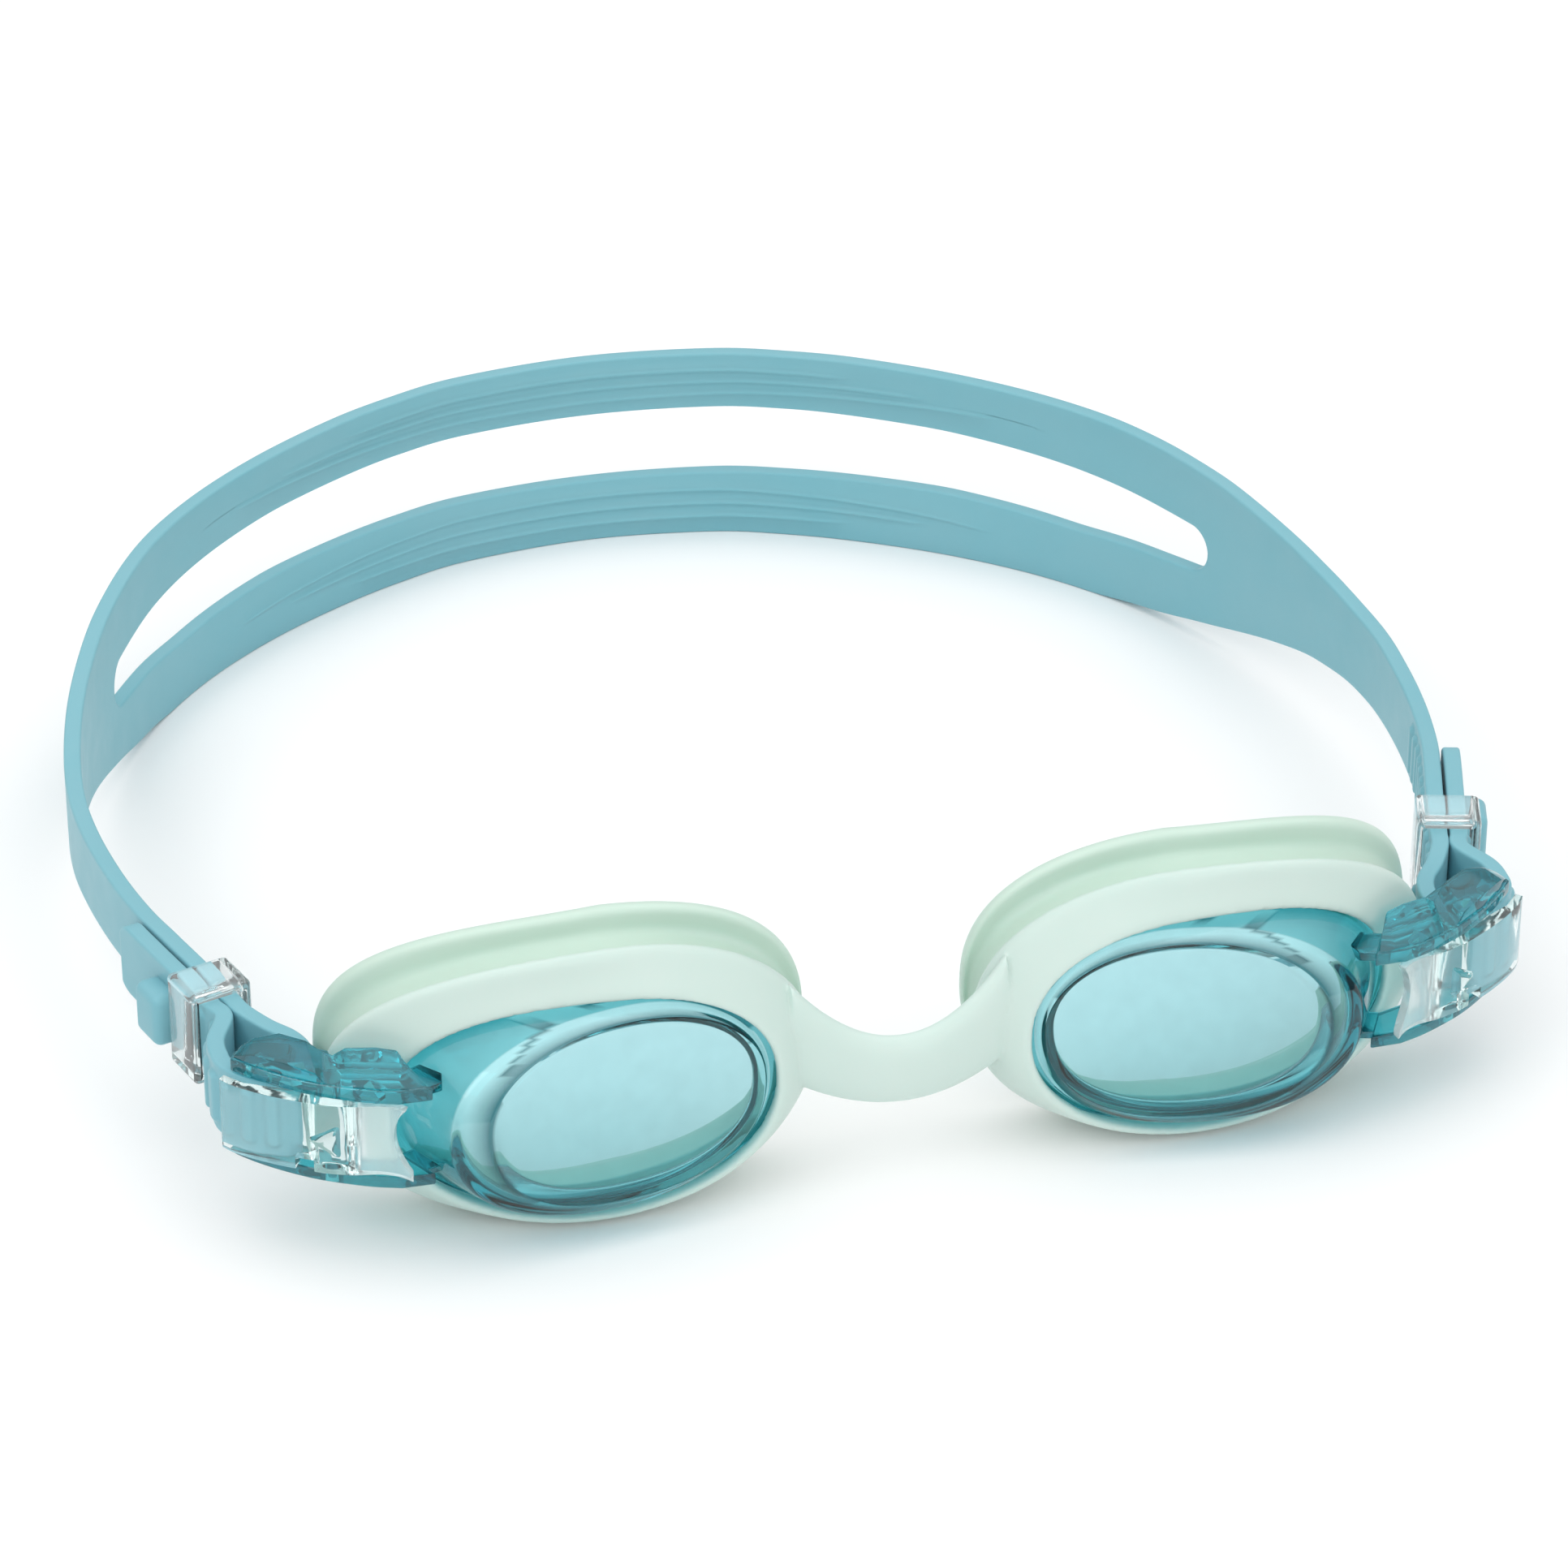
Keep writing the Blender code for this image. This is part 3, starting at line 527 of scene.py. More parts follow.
def opening_y(x, z):
    return 3.6 + 0.07 * (z - 15.5) + 0.0062 * beyond_middle(x) ** 2


def bezel_y(x, z):
    return np.minimum(window_y(x, z) + BEZEL_DEPTH, opening_y(x, z) + FRAME_LIP)


def skirt_y(x, z):
    return 7.6 - 0.10 * (x - 33.0) + 0.0100 * beyond_middle(x) ** 2


def shoulder_y(x, z):
    return (1 - SKIRT_SHARE) * opening_y(x, z) + SKIRT_SHARE * skirt_y(x, z)


def lip_y(x, z):
    return 15.7 - 0.14 * beyond_middle(x) + 0.0100 * beyond_middle(x) ** 2 - 0.005 * (z - 18.0) ** 2


def oval_ring(oval, depth, shift):
    angle = 2 * math.pi * np.arange(OVAL_POINTS) / OVAL_POINTS
    power = np.where(np.sin(angle) > 0, oval.upper_power, oval.lower_power)
    across = np.sign(np.cos(angle)) * np.abs(np.cos(angle)) ** (2 / power)
    upward = np.sign(np.sin(angle)) * np.abs(np.sin(angle)) ** (2 / power)
    x = oval.x + across * np.where(across > 0, oval.temple, oval.nose)
    z = oval.z + upward * np.where(upward > 0, oval.up, oval.down)
    return np.column_stack([x, depth(x, z) + shift, z])


def flange(extra=0.0):
    return grown(OPENING, *(reach + extra for reach in FLANGE_REACH))


# ---------------------------------------------------------------- frame

FRAME_VOXEL = 0.3
FRAME_SMOOTHING = 5
BRIDGE_END = 12.6
BRIDGE_REACH = 13.5  # from the middle to where the bridge's curve meets the rims
BRIDGE_POINTS = 40
BRIDGE_SECTIONS = 61


def rim_rings():
    """One eye's rim: a rounded front lip, the sloping skirt, its crisp rear edge, and the lens pocket."""
    pocket = flange(GAP)
    middle = grown(halfway(OPENING, SKIRT), 0.35, 0.35, 0.35, 0.2)
    sections = [
        ((OPENING, opening_y, FRAME_LIP), 0.1),
        ((OPENING, opening_y, 0.0), 0.45),
        ((grown(OPENING, 0.8), opening_y, -0.05), 0.6),
        ((middle, shoulder_y, 0.0), 3.0),
        ((SKIRT, skirt_y, -1.3), 1.2),
        ((SKIRT, skirt_y, 0.0), 0.3),
        ((pocket, skirt_y, 0.0), 0.2),
        ((pocket, opening_y, FRAME_LIP), 0.1),
    ]
    rings = [oval_ring(*section) for section, _ in sections]
    return filleted(rings, [radius for _, radius in sections])


def bridge_ring(x):
    """The nose bridge's section at x: it arches, leans back at the top and widens into the rims."""
    top = 18.4 + 0.047 * x * x
    bottom = 10.2 + 0.020 * x * x
    middle = (top + bottom) / 2
    half_depth = 1.75 - 0.35 * (x / BRIDGE_REACH) ** 2
    centre_y = 4.8 + 2.4 * (x / BRIDGE_REACH) ** 2
    angle = 2 * math.pi * np.arange(BRIDGE_POINTS) / BRIDGE_POINTS
    z = middle + np.sign(np.sin(angle)) * np.abs(np.sin(angle)) ** 0.8 * (top - bottom) / 2
    y = centre_y + half_depth * np.cos(angle) + 0.08 * (z - middle)
    return np.column_stack([np.full(BRIDGE_POINTS, x), y, z])


def make_frame():
    """The rims and the bridge are melted into one skin, so that the bridge flows into both rims."""
    rim = loft("frame_silicone", rim_rings(), 1, looped=True)
    others = [
        loft("rim_left", rim_rings(), -1, looped=True),
        loft("bridge", [bridge_ring(x) for x in np.linspace(-BRIDGE_END, BRIDGE_END, BRIDGE_SECTIONS)]),
    ]
    for other in others:
        combine(rim, other, "UNION")
    remesh = rim.modifiers.new("Melt", "REMESH")
    remesh.mode = "VOXEL"
    remesh.voxel_size = FRAME_VOXEL * MM
    smooth = rim.modifiers.new("Soften", "SMOOTH")
    smooth.factor = 0.5
    smooth.iterations = FRAME_SMOOTHING
    evaluated(rim)
    rim.data.shade_smooth()
    finish_piece(rim, "frame", BODY, "frame_silicone", "frame")


# ---------------------------------------------------------------- gaskets


def make_gasket(side):
    """The eye seal: a wall with a soft valley round it, and a rounded lip that curls in to the face."""
    sections = [
        ((grown(SKIRT, -1.0), skirt_y, GAP), 0.3),
        ((grown(SKIRT, -1.55), skirt_y, 2.4), 1.2),
        ((grown(SKIRT, -1.0), skirt_y, 4.4), 1.2),
        ((grown(LIP, -0.05), lip_y, -2.1), 1.1),
        ((grown(LIP, -0.1), lip_y, -0.2), 0.9),
        ((grown(LIP, -1.5), lip_y, 0.1), 0.6),
        ((grown(LIP, -2.0), lip_y, -1.2), 0.5),
        ((grown(SKIRT, -3.4), skirt_y, 3.4), 1.5),
        ((grown(SKIRT, -3.1), skirt_y, GAP), 0.3),
    ]
    rings = [oval_ring(*section) for section, _ in sections]
    rings = filleted(rings, [radius for _, radius in sections], 5)
    gasket = loft(side_name("gasket_silicone", side), rings, side, looped=True, sharp=60.0)
    finish_piece(gasket, "gasket", BODY, "gasket_silicone", side_name("gasket", side))


# ---------------------------------------------------------------- lens with temple arm

ARM_MIDDLE = 16.3  # height of the arm, the lever and the strap at the buckle
PIVOT = np.array([65.2, 6.4])
ARM_ANGLE = math.radians(27)
PLATE_INNER = 4.8  # from the arm's middle to each plate's inner face
PLATE_OUTER = 6.5
LOWER_PLATE_THINNER = 0.2
ROOT_INSET = 0.6
PLATE_OUTER_EDGE = [
    (54.7, 1.3), (58.5, 1.4), (61.4, 2.4), (64.3, 3.8),
    (67.4, 5.6), (70.4, 7.9), (73.1, 10.4), (75.3, 12.9),
]
PLATE_REAR_EDGE = [(74.6, 14.3), (71.8, 15.2), (68.8, 15.0), (66.2, 13.2)]
PLATE_INNER_EDGE = [(64.4, 11.8), (64.4, 9.4), (63.2, 8.4), (60.0, 7.2), (57.4, 6.4), (56.4, 4.5)]
# The ridge on the upper plate: its outer and inner edges in plan, and how far each rises.
# It dips over the pivot.
RIDGE = [
    ((54.9, 1.4), (56.6, 4.4), 0.1, 0.4),
    ((57.2, 1.5), (57.6, 6.3), 0.1, 2.4),
    ((60.6, 2.3), (60.0, 7.1), 0.2, 2.7),
    ((62.9, 3.3), (63.1, 8.3), 0.2, 2.4),
    ((64.1, 3.9), (64.4, 9.2), 0.1, 1.1),
    ((66.0, 5.0), (65.4, 10.6), 0.1, 0.9),
    ((67.0, 5.7), (66.8, 12.0), 1.2, 1.6),
    ((70.0, 7.9), (69.6, 13.4), 1.6, 2.2),
    ((73.2, 10.9), (72.2, 13.9), 1.3, 1.7),
    ((74.9, 13.0), (73.9, 14.0), 0.2, 0.8),
]
RIDGE_SUNK = 0.8
# Hollows under the upper plate: along the arm, outward, below its inner face, size and turn.
HOLLOWS = [
    (-4.4, -0.6, 0.35, (2.2, 1.3, 1.5), 0.3),
    (4.4, -0.6, 0.2, (1.7, 1.6, 1.6), 0.8),
    (8.2, -1.6, 0.1, (1.9, 1.5, 1.8), 0.2),
]
ROOT_EDGE = [(57.4, 6.4), (55.0, 7.4), (53.0, 5.0), (53.4, 3.0)]
BAR_CENTRE = (8.0, -3.8)  # along the arm from the pivot, and outward
BAR_HALF_LENGTH = 1.5
BAR_RADIUS = 0.9
PIN_RADIUS = 1.0
PIVOT_HOLE_RADIUS = 1.35
PIVOT_HOLE_DROP = 0.15  # it stays closed at the top by this much
BAR_SUNK = 0.5  # into each plate
# Where the tints of the lens and its painted shade change.
ARM_START = 53.5
ARM_BACK = 18.4
PAST_EDGE = 1.01
# Half the width of the painted shade line at the window's edge, as a share of the window's size.
PAINTED_SHADE_LINE_HALF_WIDTH = 0.012


def on_arm(along, outward):
    """A plan point from distances along the arm behind the pivot and outward from it."""
    way = np.array([math.cos(ARM_ANGLE), math.sin(ARM_ANGLE)])
    return PIVOT + along * way + outward * np.array([way[1], -way[0]])


def arm_outline(points):
    return [on_arm(*point) for point in points]


def stadium(centre, half_length, radius):
    """A straight-sided outline with round ends."""
    steps = 12
    points = []
    for end, start in ((1, -math.pi / 2), (-1, math.pi / 2)):
        for k in range(steps + 1):
            angle = start + math.pi * k / steps
            x = centre[0] + end * half_length + radius * math.cos(angle)
            points.append((x, centre[1] + radius * math.sin(angle)))
    return points


def cup_rings():
    """From the front face over the bevel to the flange, and back inside to the rear of the window."""
    rim = grown(OPENING, -GAP)
    sections = [
        ((grown(WINDOW, -0.6), window_y, 0.0), 0.0),
        ((WINDOW, window_y, 0.0), 0.18),
        ((BEZEL, bezel_y, 0.0), 0.8),
        ((rim, opening_y, FLANGE_FRONT), 0.25),
        ((flange(), opening_y, FLANGE_FRONT), 0.2),
        ((flange(), opening_y, FLANGE_BACK), 0.2),
        ((grown(rim, -LENS_WALL), opening_y, FLANGE_BACK), 0.4),
        ((grown(BEZEL, -LENS_WALL), bezel_y, LENS_WALL - 0.4), 1.2),
        ((grown(WINDOW, -1.2), window_y, LENS_WALL), 0.35),
        ((grown(WINDOW, -2.2), window_y, LENS_WALL), 0.0),
    ]
    rings = [oval_ring(*section) for section, _ in sections]
    return filleted(rings, [radius for _, radius in sections], 5, looped=False)


def plate_pieces(side, up):
    """One plate of the arm and the root that ties it to the cup."""
    inner = ARM_MIDDLE + up * PLATE_INNER
    outer = PLATE_OUTER if up > 0 else PLATE_OUTER - LOWER_PLATE_THINNER
    low, high = sorted((inner, ARM_MIDDLE + up * outer))
    root_low, root_high = sorted((inner, ARM_MIDDLE + up * (outer - ROOT_INSET)))
    edge = smooth_curve(PLATE_OUTER_EDGE[1:], 0.6)
    plate = [PLATE_OUTER_EDGE[0], *edge, *PLATE_REAR_EDGE, *PLATE_INNER_EDGE]
    root = PLATE_OUTER_EDGE[1:3] + ROOT_EDGE
    return [
        prism("root", root, root_low, root_high, side, 0.15),
        prism("plate", plate, low, high, side, 0.25),
    ]


def ridge(side):
    """The faceted ridge: a slope in front of the pivot and a raised block behind it."""
    top = ARM_MIDDLE + PLATE_OUTER
    rings = []
    for outer, inner, outer_rise, inner_rise in RIDGE:
        corners = ((outer, -RIDGE_SUNK), (outer, outer_rise), (inner, inner_rise), (inner, -RIDGE_SUNK))
        rings.append([(x, y, top + rise) for (x, y), rise in corners])
    block = loft("ridge", rings, side)
    bevel(block, 0.25, 2, 20.0)
    return block


def hollow(side, along, outward, drop, size, turn):
    """A faceted pocket, to be cut into the underside of the upper plate."""
    z = ARM_MIDDLE + PLATE_INNER - drop
    matrix = turned_about_z(*on_arm(along, outward), z, ARM_ANGLE + turn) @ Matrix.Diagonal((*size, 1.0))
    return shaped(
        "hollow", lambda edit: bmesh.ops.create_icosphere(edit, subdivisions=1, radius=1.0), matrix, side
    )


def corners_of(obj, side):
    """An object's mesh corners as drawing points on the right-hand side."""
    points = np.empty(len(obj.data.vertices) * 3)
    obj.data.vertices.foreach_get("co", points)
    return (points.reshape(-1, 3) / MM - (0.0, ORIGIN_Y, 0.0)) * (side, 1.0, 1.0)


def set_frost(obj, amounts):
    obj.data.attributes.new(FROST, "FLOAT", "POINT").data.foreach_set("value", amounts)


def outwards(oval, points):
    """0 at an oval's centre, 1 on its edge and more beyond."""
    x, z = points[:, 0] - oval.x, points[:, 2] - oval.z
    across = np.abs(x) / np.where(x > 0, oval.temple, oval.nose)
    upward = np.abs(z) / np.where(z > 0, oval.up, oval.down)
    power = np.where(z > 0, oval.upper_power, oval.lower_power)
    return (across**power + upward**power) ** (1 / power)


def tints_and_painted_shade(lens, side):
    """Gives each mesh corner of the lens a tint by its part: the lens's own colours, its teal darkened with
    painted shade outside the bezel, and a painted dark line of shade along the window's upper and temple
    edge.
    """
    points = corners_of(lens, side)
    from_window = outwards(WINDOW, points)
    # The painted shade line is drawn only along the window's upper and temple side.
    upper_temple = points[:, 2] - WINDOW.z > 0.5 * (WINDOW.x - points[:, 0]) - 3.0
    on_painted_shade_line = (np.abs(from_window - 1.0) < PAINTED_SHADE_LINE_HALF_WIDTH) & upper_temple
    on_arm_side = (points[:, 0] > ARM_START) & (outwards(OPENING, points) > 0.9) & (points[:, 1] < ARM_BACK)
    tints = np.empty((len(points), 4))
    # Outside the bezel the lens gets its teal darkened with painted shade.
    tints[:] = (*WALL_TEAL_AND_PAINTED_SHADE, 1.0)
    tints[outwards(BEZEL, points) < PAST_EDGE, :3] = BEZEL_TINT
    tints[from_window < PAST_EDGE, :3] = WINDOW_TINT
    # A near-black line of painted shade along the window's upper and temple edge.
    tints[on_painted_shade_line, :3] = EDGE_LINE_PAINTED_SHADE
    tints[on_arm_side, :3] = ARM_TINT
    lens.data.attributes.new(TINT, "FLOAT_COLOR", "POINT").data.foreach_set("color", tints.ravel())
    set_frost(lens, on_arm_side.astype(float))


def make_lens(side):
    lens = loft(side_name("lens_cup", side), cup_rings(), side)
    for up in (1, -1):
        for piece in plate_pieces(side, up):
            combine(lens, piece, "UNION")
    combine(lens, ridge(side), "UNION")
    bar = arm_outline(stadium(BAR_CENTRE, BAR_HALF_LENGTH, BAR_RADIUS))
    bar_reach = PLATE_INNER + BAR_SUNK
    combine(lens, prism("bar", bar, ARM_MIDDLE - bar_reach, ARM_MIDDLE + bar_reach, side), "UNION")
    at_pivot = Matrix.Translation((*PIVOT, ARM_MIDDLE - PIVOT_HOLE_DROP))
    hole = drum("hole", 40, PIVOT_HOLE_RADIUS, PIVOT_HOLE_RADIUS, 2 * PLATE_OUTER, at_pivot, side)
    combine(lens, hole, "DIFFERENCE")
    for pocket in HOLLOWS:
        combine(lens, hollow(side, *pocket), "DIFFERENCE")
    shade(lens, 28.0)
    tints_and_painted_shade(lens, side)
    finish_piece(lens, "lens", BODY, "tinted_lens", side_name("lens", side))


# ---------------------------------------------------------------- cam lever

LEVER_HALF_HEIGHT = 4.5
LEVER_OUTER = [
    (-9.8, 2.4), (-8.2, 1.8), (-6.0, 1.7), (-3.0, 2.5), (0.0, 2.8),
    (3.0, 2.65), (6.0, 2.3), (9.0, 1.7), (11.5, 0.9), (12.9, 0.1),
]
LEVER_INNER = [
    (12.6, -0.8), (11.5, -0.3), (10.0, 0.3), (3.4, 0.3), (1.6, -1.1),
    (0.0, -1.4), (-1.6, -1.1), (-3.2, 0.4), (-6.0, 0.5), (-8.2, 0.7), (-9.5, 1.3),
]
BITE_PLACE = (-13.1, 2.0)  # the curve cut out of the thumb pad's front edge
BITE_RISE = 0.6
BITE_RADIUS = 5.6
BITE_DEPTH = 8.0
NOTCH_PLACE = (2.6, 1.5)
NOTCH_SIZE = (2.2, 8.0, 3.0)
BOSS_PLACE = (-0.3, 2.75)
BOSS_RADII = (3.4, 1.8)
BOSS_DEPTH = 1.4
BOSS_DROP = 0.2
FROST_EDGE = -2.4  # the pad is frosted in front of this
FROST_FADE = 1.5


def make_lever(side):
    """The clear lever: thumb pad at the front, cam face over the strap at the back, pins into both plates."""
    outer = smooth_curve(LEVER_OUTER, 0.5)
    inner = smooth_curve(LEVER_INNER[2:], 0.5)
    outline = arm_outline([*outer, *LEVER_INNER[:2], *inner])
    bottom = ARM_MIDDLE - LEVER_HALF_HEIGHT
    lever = prism(side_name("lever_clear", side), outline, bottom, ARM_MIDDLE + LEVER_HALF_HEIGHT, side)
    across = Matrix.Rotation(ARM_ANGLE, 4, "Z") @ Matrix.Rotation(math.pi / 2, 4, "X")
    at_bite = Matrix.Translation((*on_arm(*BITE_PLACE), ARM_MIDDLE + BITE_RISE)) @ across
    combine(lever, drum("pad_bite", 64, BITE_RADIUS, BITE_RADIUS, BITE_DEPTH, at_bite, side), "DIFFERENCE")
    at_notch = turned_about_z(*on_arm(*NOTCH_PLACE), bottom, ARM_ANGLE)
    combine(lever, box("notch", NOTCH_SIZE, at_notch, side), "DIFFERENCE")
    bevel(lever, 0.3, 3, 30.0)
    at_pivot = Matrix.Translation((*PIVOT, ARM_MIDDLE))
    pin = drum("pin", 40, PIN_RADIUS, PIN_RADIUS, 2 * (PLATE_OUTER - 0.3), at_pivot, side)
    bevel(pin, 0.2, 2)
    combine(lever, pin, "UNION")
    at_boss = Matrix.Translation((*on_arm(*BOSS_PLACE), ARM_MIDDLE - BOSS_DROP)) @ across
    point_back = Matrix.Rotation(-math.pi / 2, 4, "Z")
    boss = drum("boss", 3, *BOSS_RADII, BOSS_DEPTH, at_boss @ point_back, side)
    bevel(boss, 0.5, 3)
    combine(lever, boss, "UNION")
    shade(lever, 30.0)
    points = corners_of(lever, side)
    from_pivot = points[:, :2] - PIVOT
    along = from_pivot[:, 0] * math.cos(ARM_ANGLE) + from_pivot[:, 1] * math.sin(ARM_ANGLE)
    set_frost(lever, np.clip((FROST_EDGE - along) / FROST_FADE, 0.0, 1.0))
    finish_piece(lever, "lever", side_name("lever", side), "clear_plastic", side_name("lever", side))


# ---------------------------------------------------------------- keeper

STRAP_THICKNESS = 2.1
STRAP_HALF_WIDTH = 4.55  # at the buckle
TOOTH_HEIGHT = 0.5
KEEPER_POINT = np.array([73.3, 31.6])  # on the inner layer
KEEPER_WAY = np.array([0.29, 0.957]) / math.hypot(0.29, 0.957)  # rearward along the strap at the keeper
KEEPER_OUT = np.array([KEEPER_WAY[1], -KEEPER_WAY[0]])
KEEPER_TURN = math.atan2(KEEPER_OUT[1], KEEPER_OUT[0])
KEEPER_LENGTH = 6.6
KEEPER_WALL = 0.8
KEEPER_CAP = 1.1
LAYER_STEP = STRAP_THICKNESS + GAP
KEEPER_ROOM = 2 * STRAP_THICKNESS + 2 * TOOTH_HEIGHT + 3 * GAP


def keeper_block(name, size, side):
    middle = KEEPER_POINT + KEEPER_OUT * LAYER_STEP / 2
    return box(name, size, turned_about_z(*middle, ARM_MIDDLE, KEEPER_TURN), side)


def make_keeper(side):
    """The clear ring that holds the strap's two layers together."""
    height = 2 * (STRAP_HALF_WIDTH + GAP)
    size = (KEEPER_ROOM + 2 * KEEPER_WALL, KEEPER_LENGTH, height + 2 * KEEPER_CAP)
    keeper = keeper_block(side_name("keeper_clear", side), size, side)
    bevel(keeper, 0.7, 5)
    channel = keeper_block("channel", (KEEPER_ROOM, KEEPER_LENGTH + 2.0, height), side)
    bevel(channel, 0.35, 3)
    combine(keeper, channel, "DIFFERENCE")
    bevel(keeper, 0.12, 2, 50.0)
    shade(keeper, 30.0)
    finish_piece(keeper, "keeper", side_name("keeper", side), "clear_plastic", side_name("keeper", side))


# ---------------------------------------------------------------- strap

# The strap's middle line in plan, from the middle of the back to behind the keeper.
STRAP_MAIN = [
    (0.0, 164.7), (17.0, 162.8), (27.2, 159.2), (37.0, 154.2), (47.4, 147.4), (56.9, 139.2),
    (64.7, 130.0), (70.6, 120.0), (75.2, 110.0), (78.9, 99.0), (81.2, 88.0), (82.2, 78.0),
    (81.9, 69.0), (80.7, 59.0), (78.9, 50.0), (77.0, 43.5),
]
STRAIGHT_FRONT = 6.0  # the layers run straight this far in front of the keeper's middle
STRAIGHT_BACK = 6.2
INNER_BULGE = [(69.5, 22.1), (67.5, 19.4), (66.6, 16.9), (66.7, 14.4)]
OUTER_BULGE = [(75.3, 15.0), (75.8, 17.4), (75.6, 20.6)]
TAIL_LENGTH = 18.5  # behind the keeper's middle
# Distance from the middle of the back, bottom edge and top edge.
STRAP_EDGES = [
    (0, 0.0, 27.0), (35, 0.0, 27.0), (74, 0.0, 26.0), (85, 1.3, 25.4), (95, 3.4, 24.4),
    (105, 6.0, 22.8), (115, 8.4, 21.4), (125, 9.8, 20.5), (140, 10.6, 20.2), (155, 11.3, 20.5),
    (166, 11.75, 20.85),
]
# Distance from the middle of the back, slot bottom and slot top.
SLOT_EDGES = [
    (0, 9.0, 18.9), (30, 9.3, 19.1), (50, 9.4, 18.7), (70, 8.6, 17.7), (84, 9.4, 16.8), (93, 10.2, 16.2),
]
SLOT_END = 93.0
SLOT_END_RADIUS = 3.0
RIB_ENDS = (36.0, 47.0, 57.0)
RIB_PLACES = (0.27, 0.51, 0.76)  # across a band, from its outer edge, at the middle of the back
RIB_END_PLACES = (0.28, 0.45, 0.55)
RIB_HEIGHT = 0.35
RIB_HALF_WIDTH = 0.42
COLUMNS_EVEN_AT = (62.0, 80.0)  # behind the ribs' ends the mesh columns spread out evenly
TOOTH_PITCH = 2.6
TOOTH_HALF_LENGTH = 0.95
TOOTH_EDGE = 0.5  # how far its sloping side runs
TOOTH_MARGIN = 1.05  # plain strap above and below the teeth
TEETH_BACK = 26.0  # the teeth reach this far behind the keeper's middle
EDGE_ROUNDING = 0.32
EDGE_STEPS = 3
TAIL_ROUNDING = 2.6
LUG_START = 3.7  # behind the keeper's middle
LUG_LENGTH = 5.6
LUG_HEIGHT = 3.0
LUG_WIDTH = 6.6
LUG_SUNK = 0.6  # into the strap
STATION_STEP = 1.3  # between rows of the mesh where the strap is plain


def lengths_along(path):
    return np.concatenate([[0.0], np.cumsum(np.linalg.norm(np.diff(path, axis=0), axis=1))])


def resampled(path, distances):
    along = lengths_along(path)
    return np.stack([np.interp(distances, along, path[:, k]) for k in (0, 1)], axis=1)


def rounded_steps(distances, table, column):
    """A table's column at these distances, eased so that its edge has no corners."""
    rows = np.array(table)
    spread = np.linspace(-4.0, 4.0, 17)
    weights = np.cos(spread / 4.0 * math.pi / 2) ** 2
    values = [np.interp(np.abs(distances + shift), rows[:, 0], rows[:, column]) for shift in spread]
    return np.average(values, axis=0, weights=weights)


def main_points():
    """The inner layer from the middle of the back to the front of its straight stretch."""
    places = (STRAIGHT_BACK, 3.0, 0.0, -3.0, -STRAIGHT_FRONT)
    return [*STRAP_MAIN, *(KEEPER_POINT + KEEPER_WAY * away for away in places)]


def turn_points():
    """Round the front of the arm's bar, from the inner layer to the outer one."""
    radius = BAR_RADIUS + GAP + STRAP_THICKNESS / 2
    front = BAR_CENTRE[0] - BAR_HALF_LENGTH
    points = []
    for degrees in (-70, -105, -140, -180, -220, -255, -285):
        angle = math.radians(degrees)
        points.append(on_arm(front + radius * math.cos(angle), BAR_CENTRE[1] + radius * math.sin(angle)))
    points[0] = on_arm(front + 1.0, BAR_CENTRE[1] - radius)
    points[-1] = on_arm(front + 3.0, BAR_CENTRE[1] + radius)
    return points


def tail_points(main):
    """The outer layer, from the front of its straight stretch back to the tail beside the inner layer."""
    layer = KEEPER_POINT + KEEPER_OUT * LAYER_STEP
    straight = [layer + KEEPER_WAY * away for away in (-STRAIGHT_FRONT, -3.0, 0.0, 3.0)]
    along = lengths_along(main)
    keeper_at = along[np.argmin(np.linalg.norm(main - KEEPER_POINT, axis=1))]
    beside = []
    for away in (6.0, 9.0, 12.0, 15.0, TAIL_LENGTH):
        behind, here, ahead = resampled(main, np.array([-0.3, 0.0, 0.3]) + keeper_at - away)
        way = (behind - ahead) / np.linalg.norm(behind - ahead)
        beside.append(here + np.array([way[1], -way[0]]) * (LAYER_STEP + 0.1))
    return straight + beside


def strap_path():
    """The middle line in plan, how far along it the keeper sits, and its length."""
    mirrored = (-STRAP_MAIN[1][0], STRAP_MAIN[1][1])
    main = smooth_curve(main_points(), 0.1, mirrored)
    points = [*main_points(), *INNER_BULGE, *turn_points(), *OUTER_BULGE, *tail_points(main)]
    path = smooth_curve(points, 0.1, mirrored)
    return path, lengths_along(main)[-1] - STRAIGHT_FRONT, lengths_along(path)[-1]


def strap_stations(keeper_at, length):
    """Distances along one half, close together where detail is, and how many reach the slot's end."""
    teeth_from = keeper_at - TEETH_BACK
    slot_end = SLOT_END - SLOT_END_RADIUS * (1 - np.sin(np.linspace(0.0, math.pi / 2, 13)))
    along_slot = np.arange(0.0, SLOT_END - SLOT_END_RADIUS - 0.4, STATION_STEP)
    behind_slot = np.arange(SLOT_END + EDGE_ROUNDING + 0.3, teeth_from - 0.4, STATION_STEP)
    toothed = np.arange(teeth_from, length - TAIL_ROUNDING, TOOTH_PITCH / 10)
    tail = length - TAIL_ROUNDING * (1 - np.sin(np.linspace(0.0, math.pi / 2, 10)))
    stations = np.concatenate([along_slot, slot_end, behind_slot, toothed[:-1], tail])
    return stations, len(along_slot) + len(slot_end)


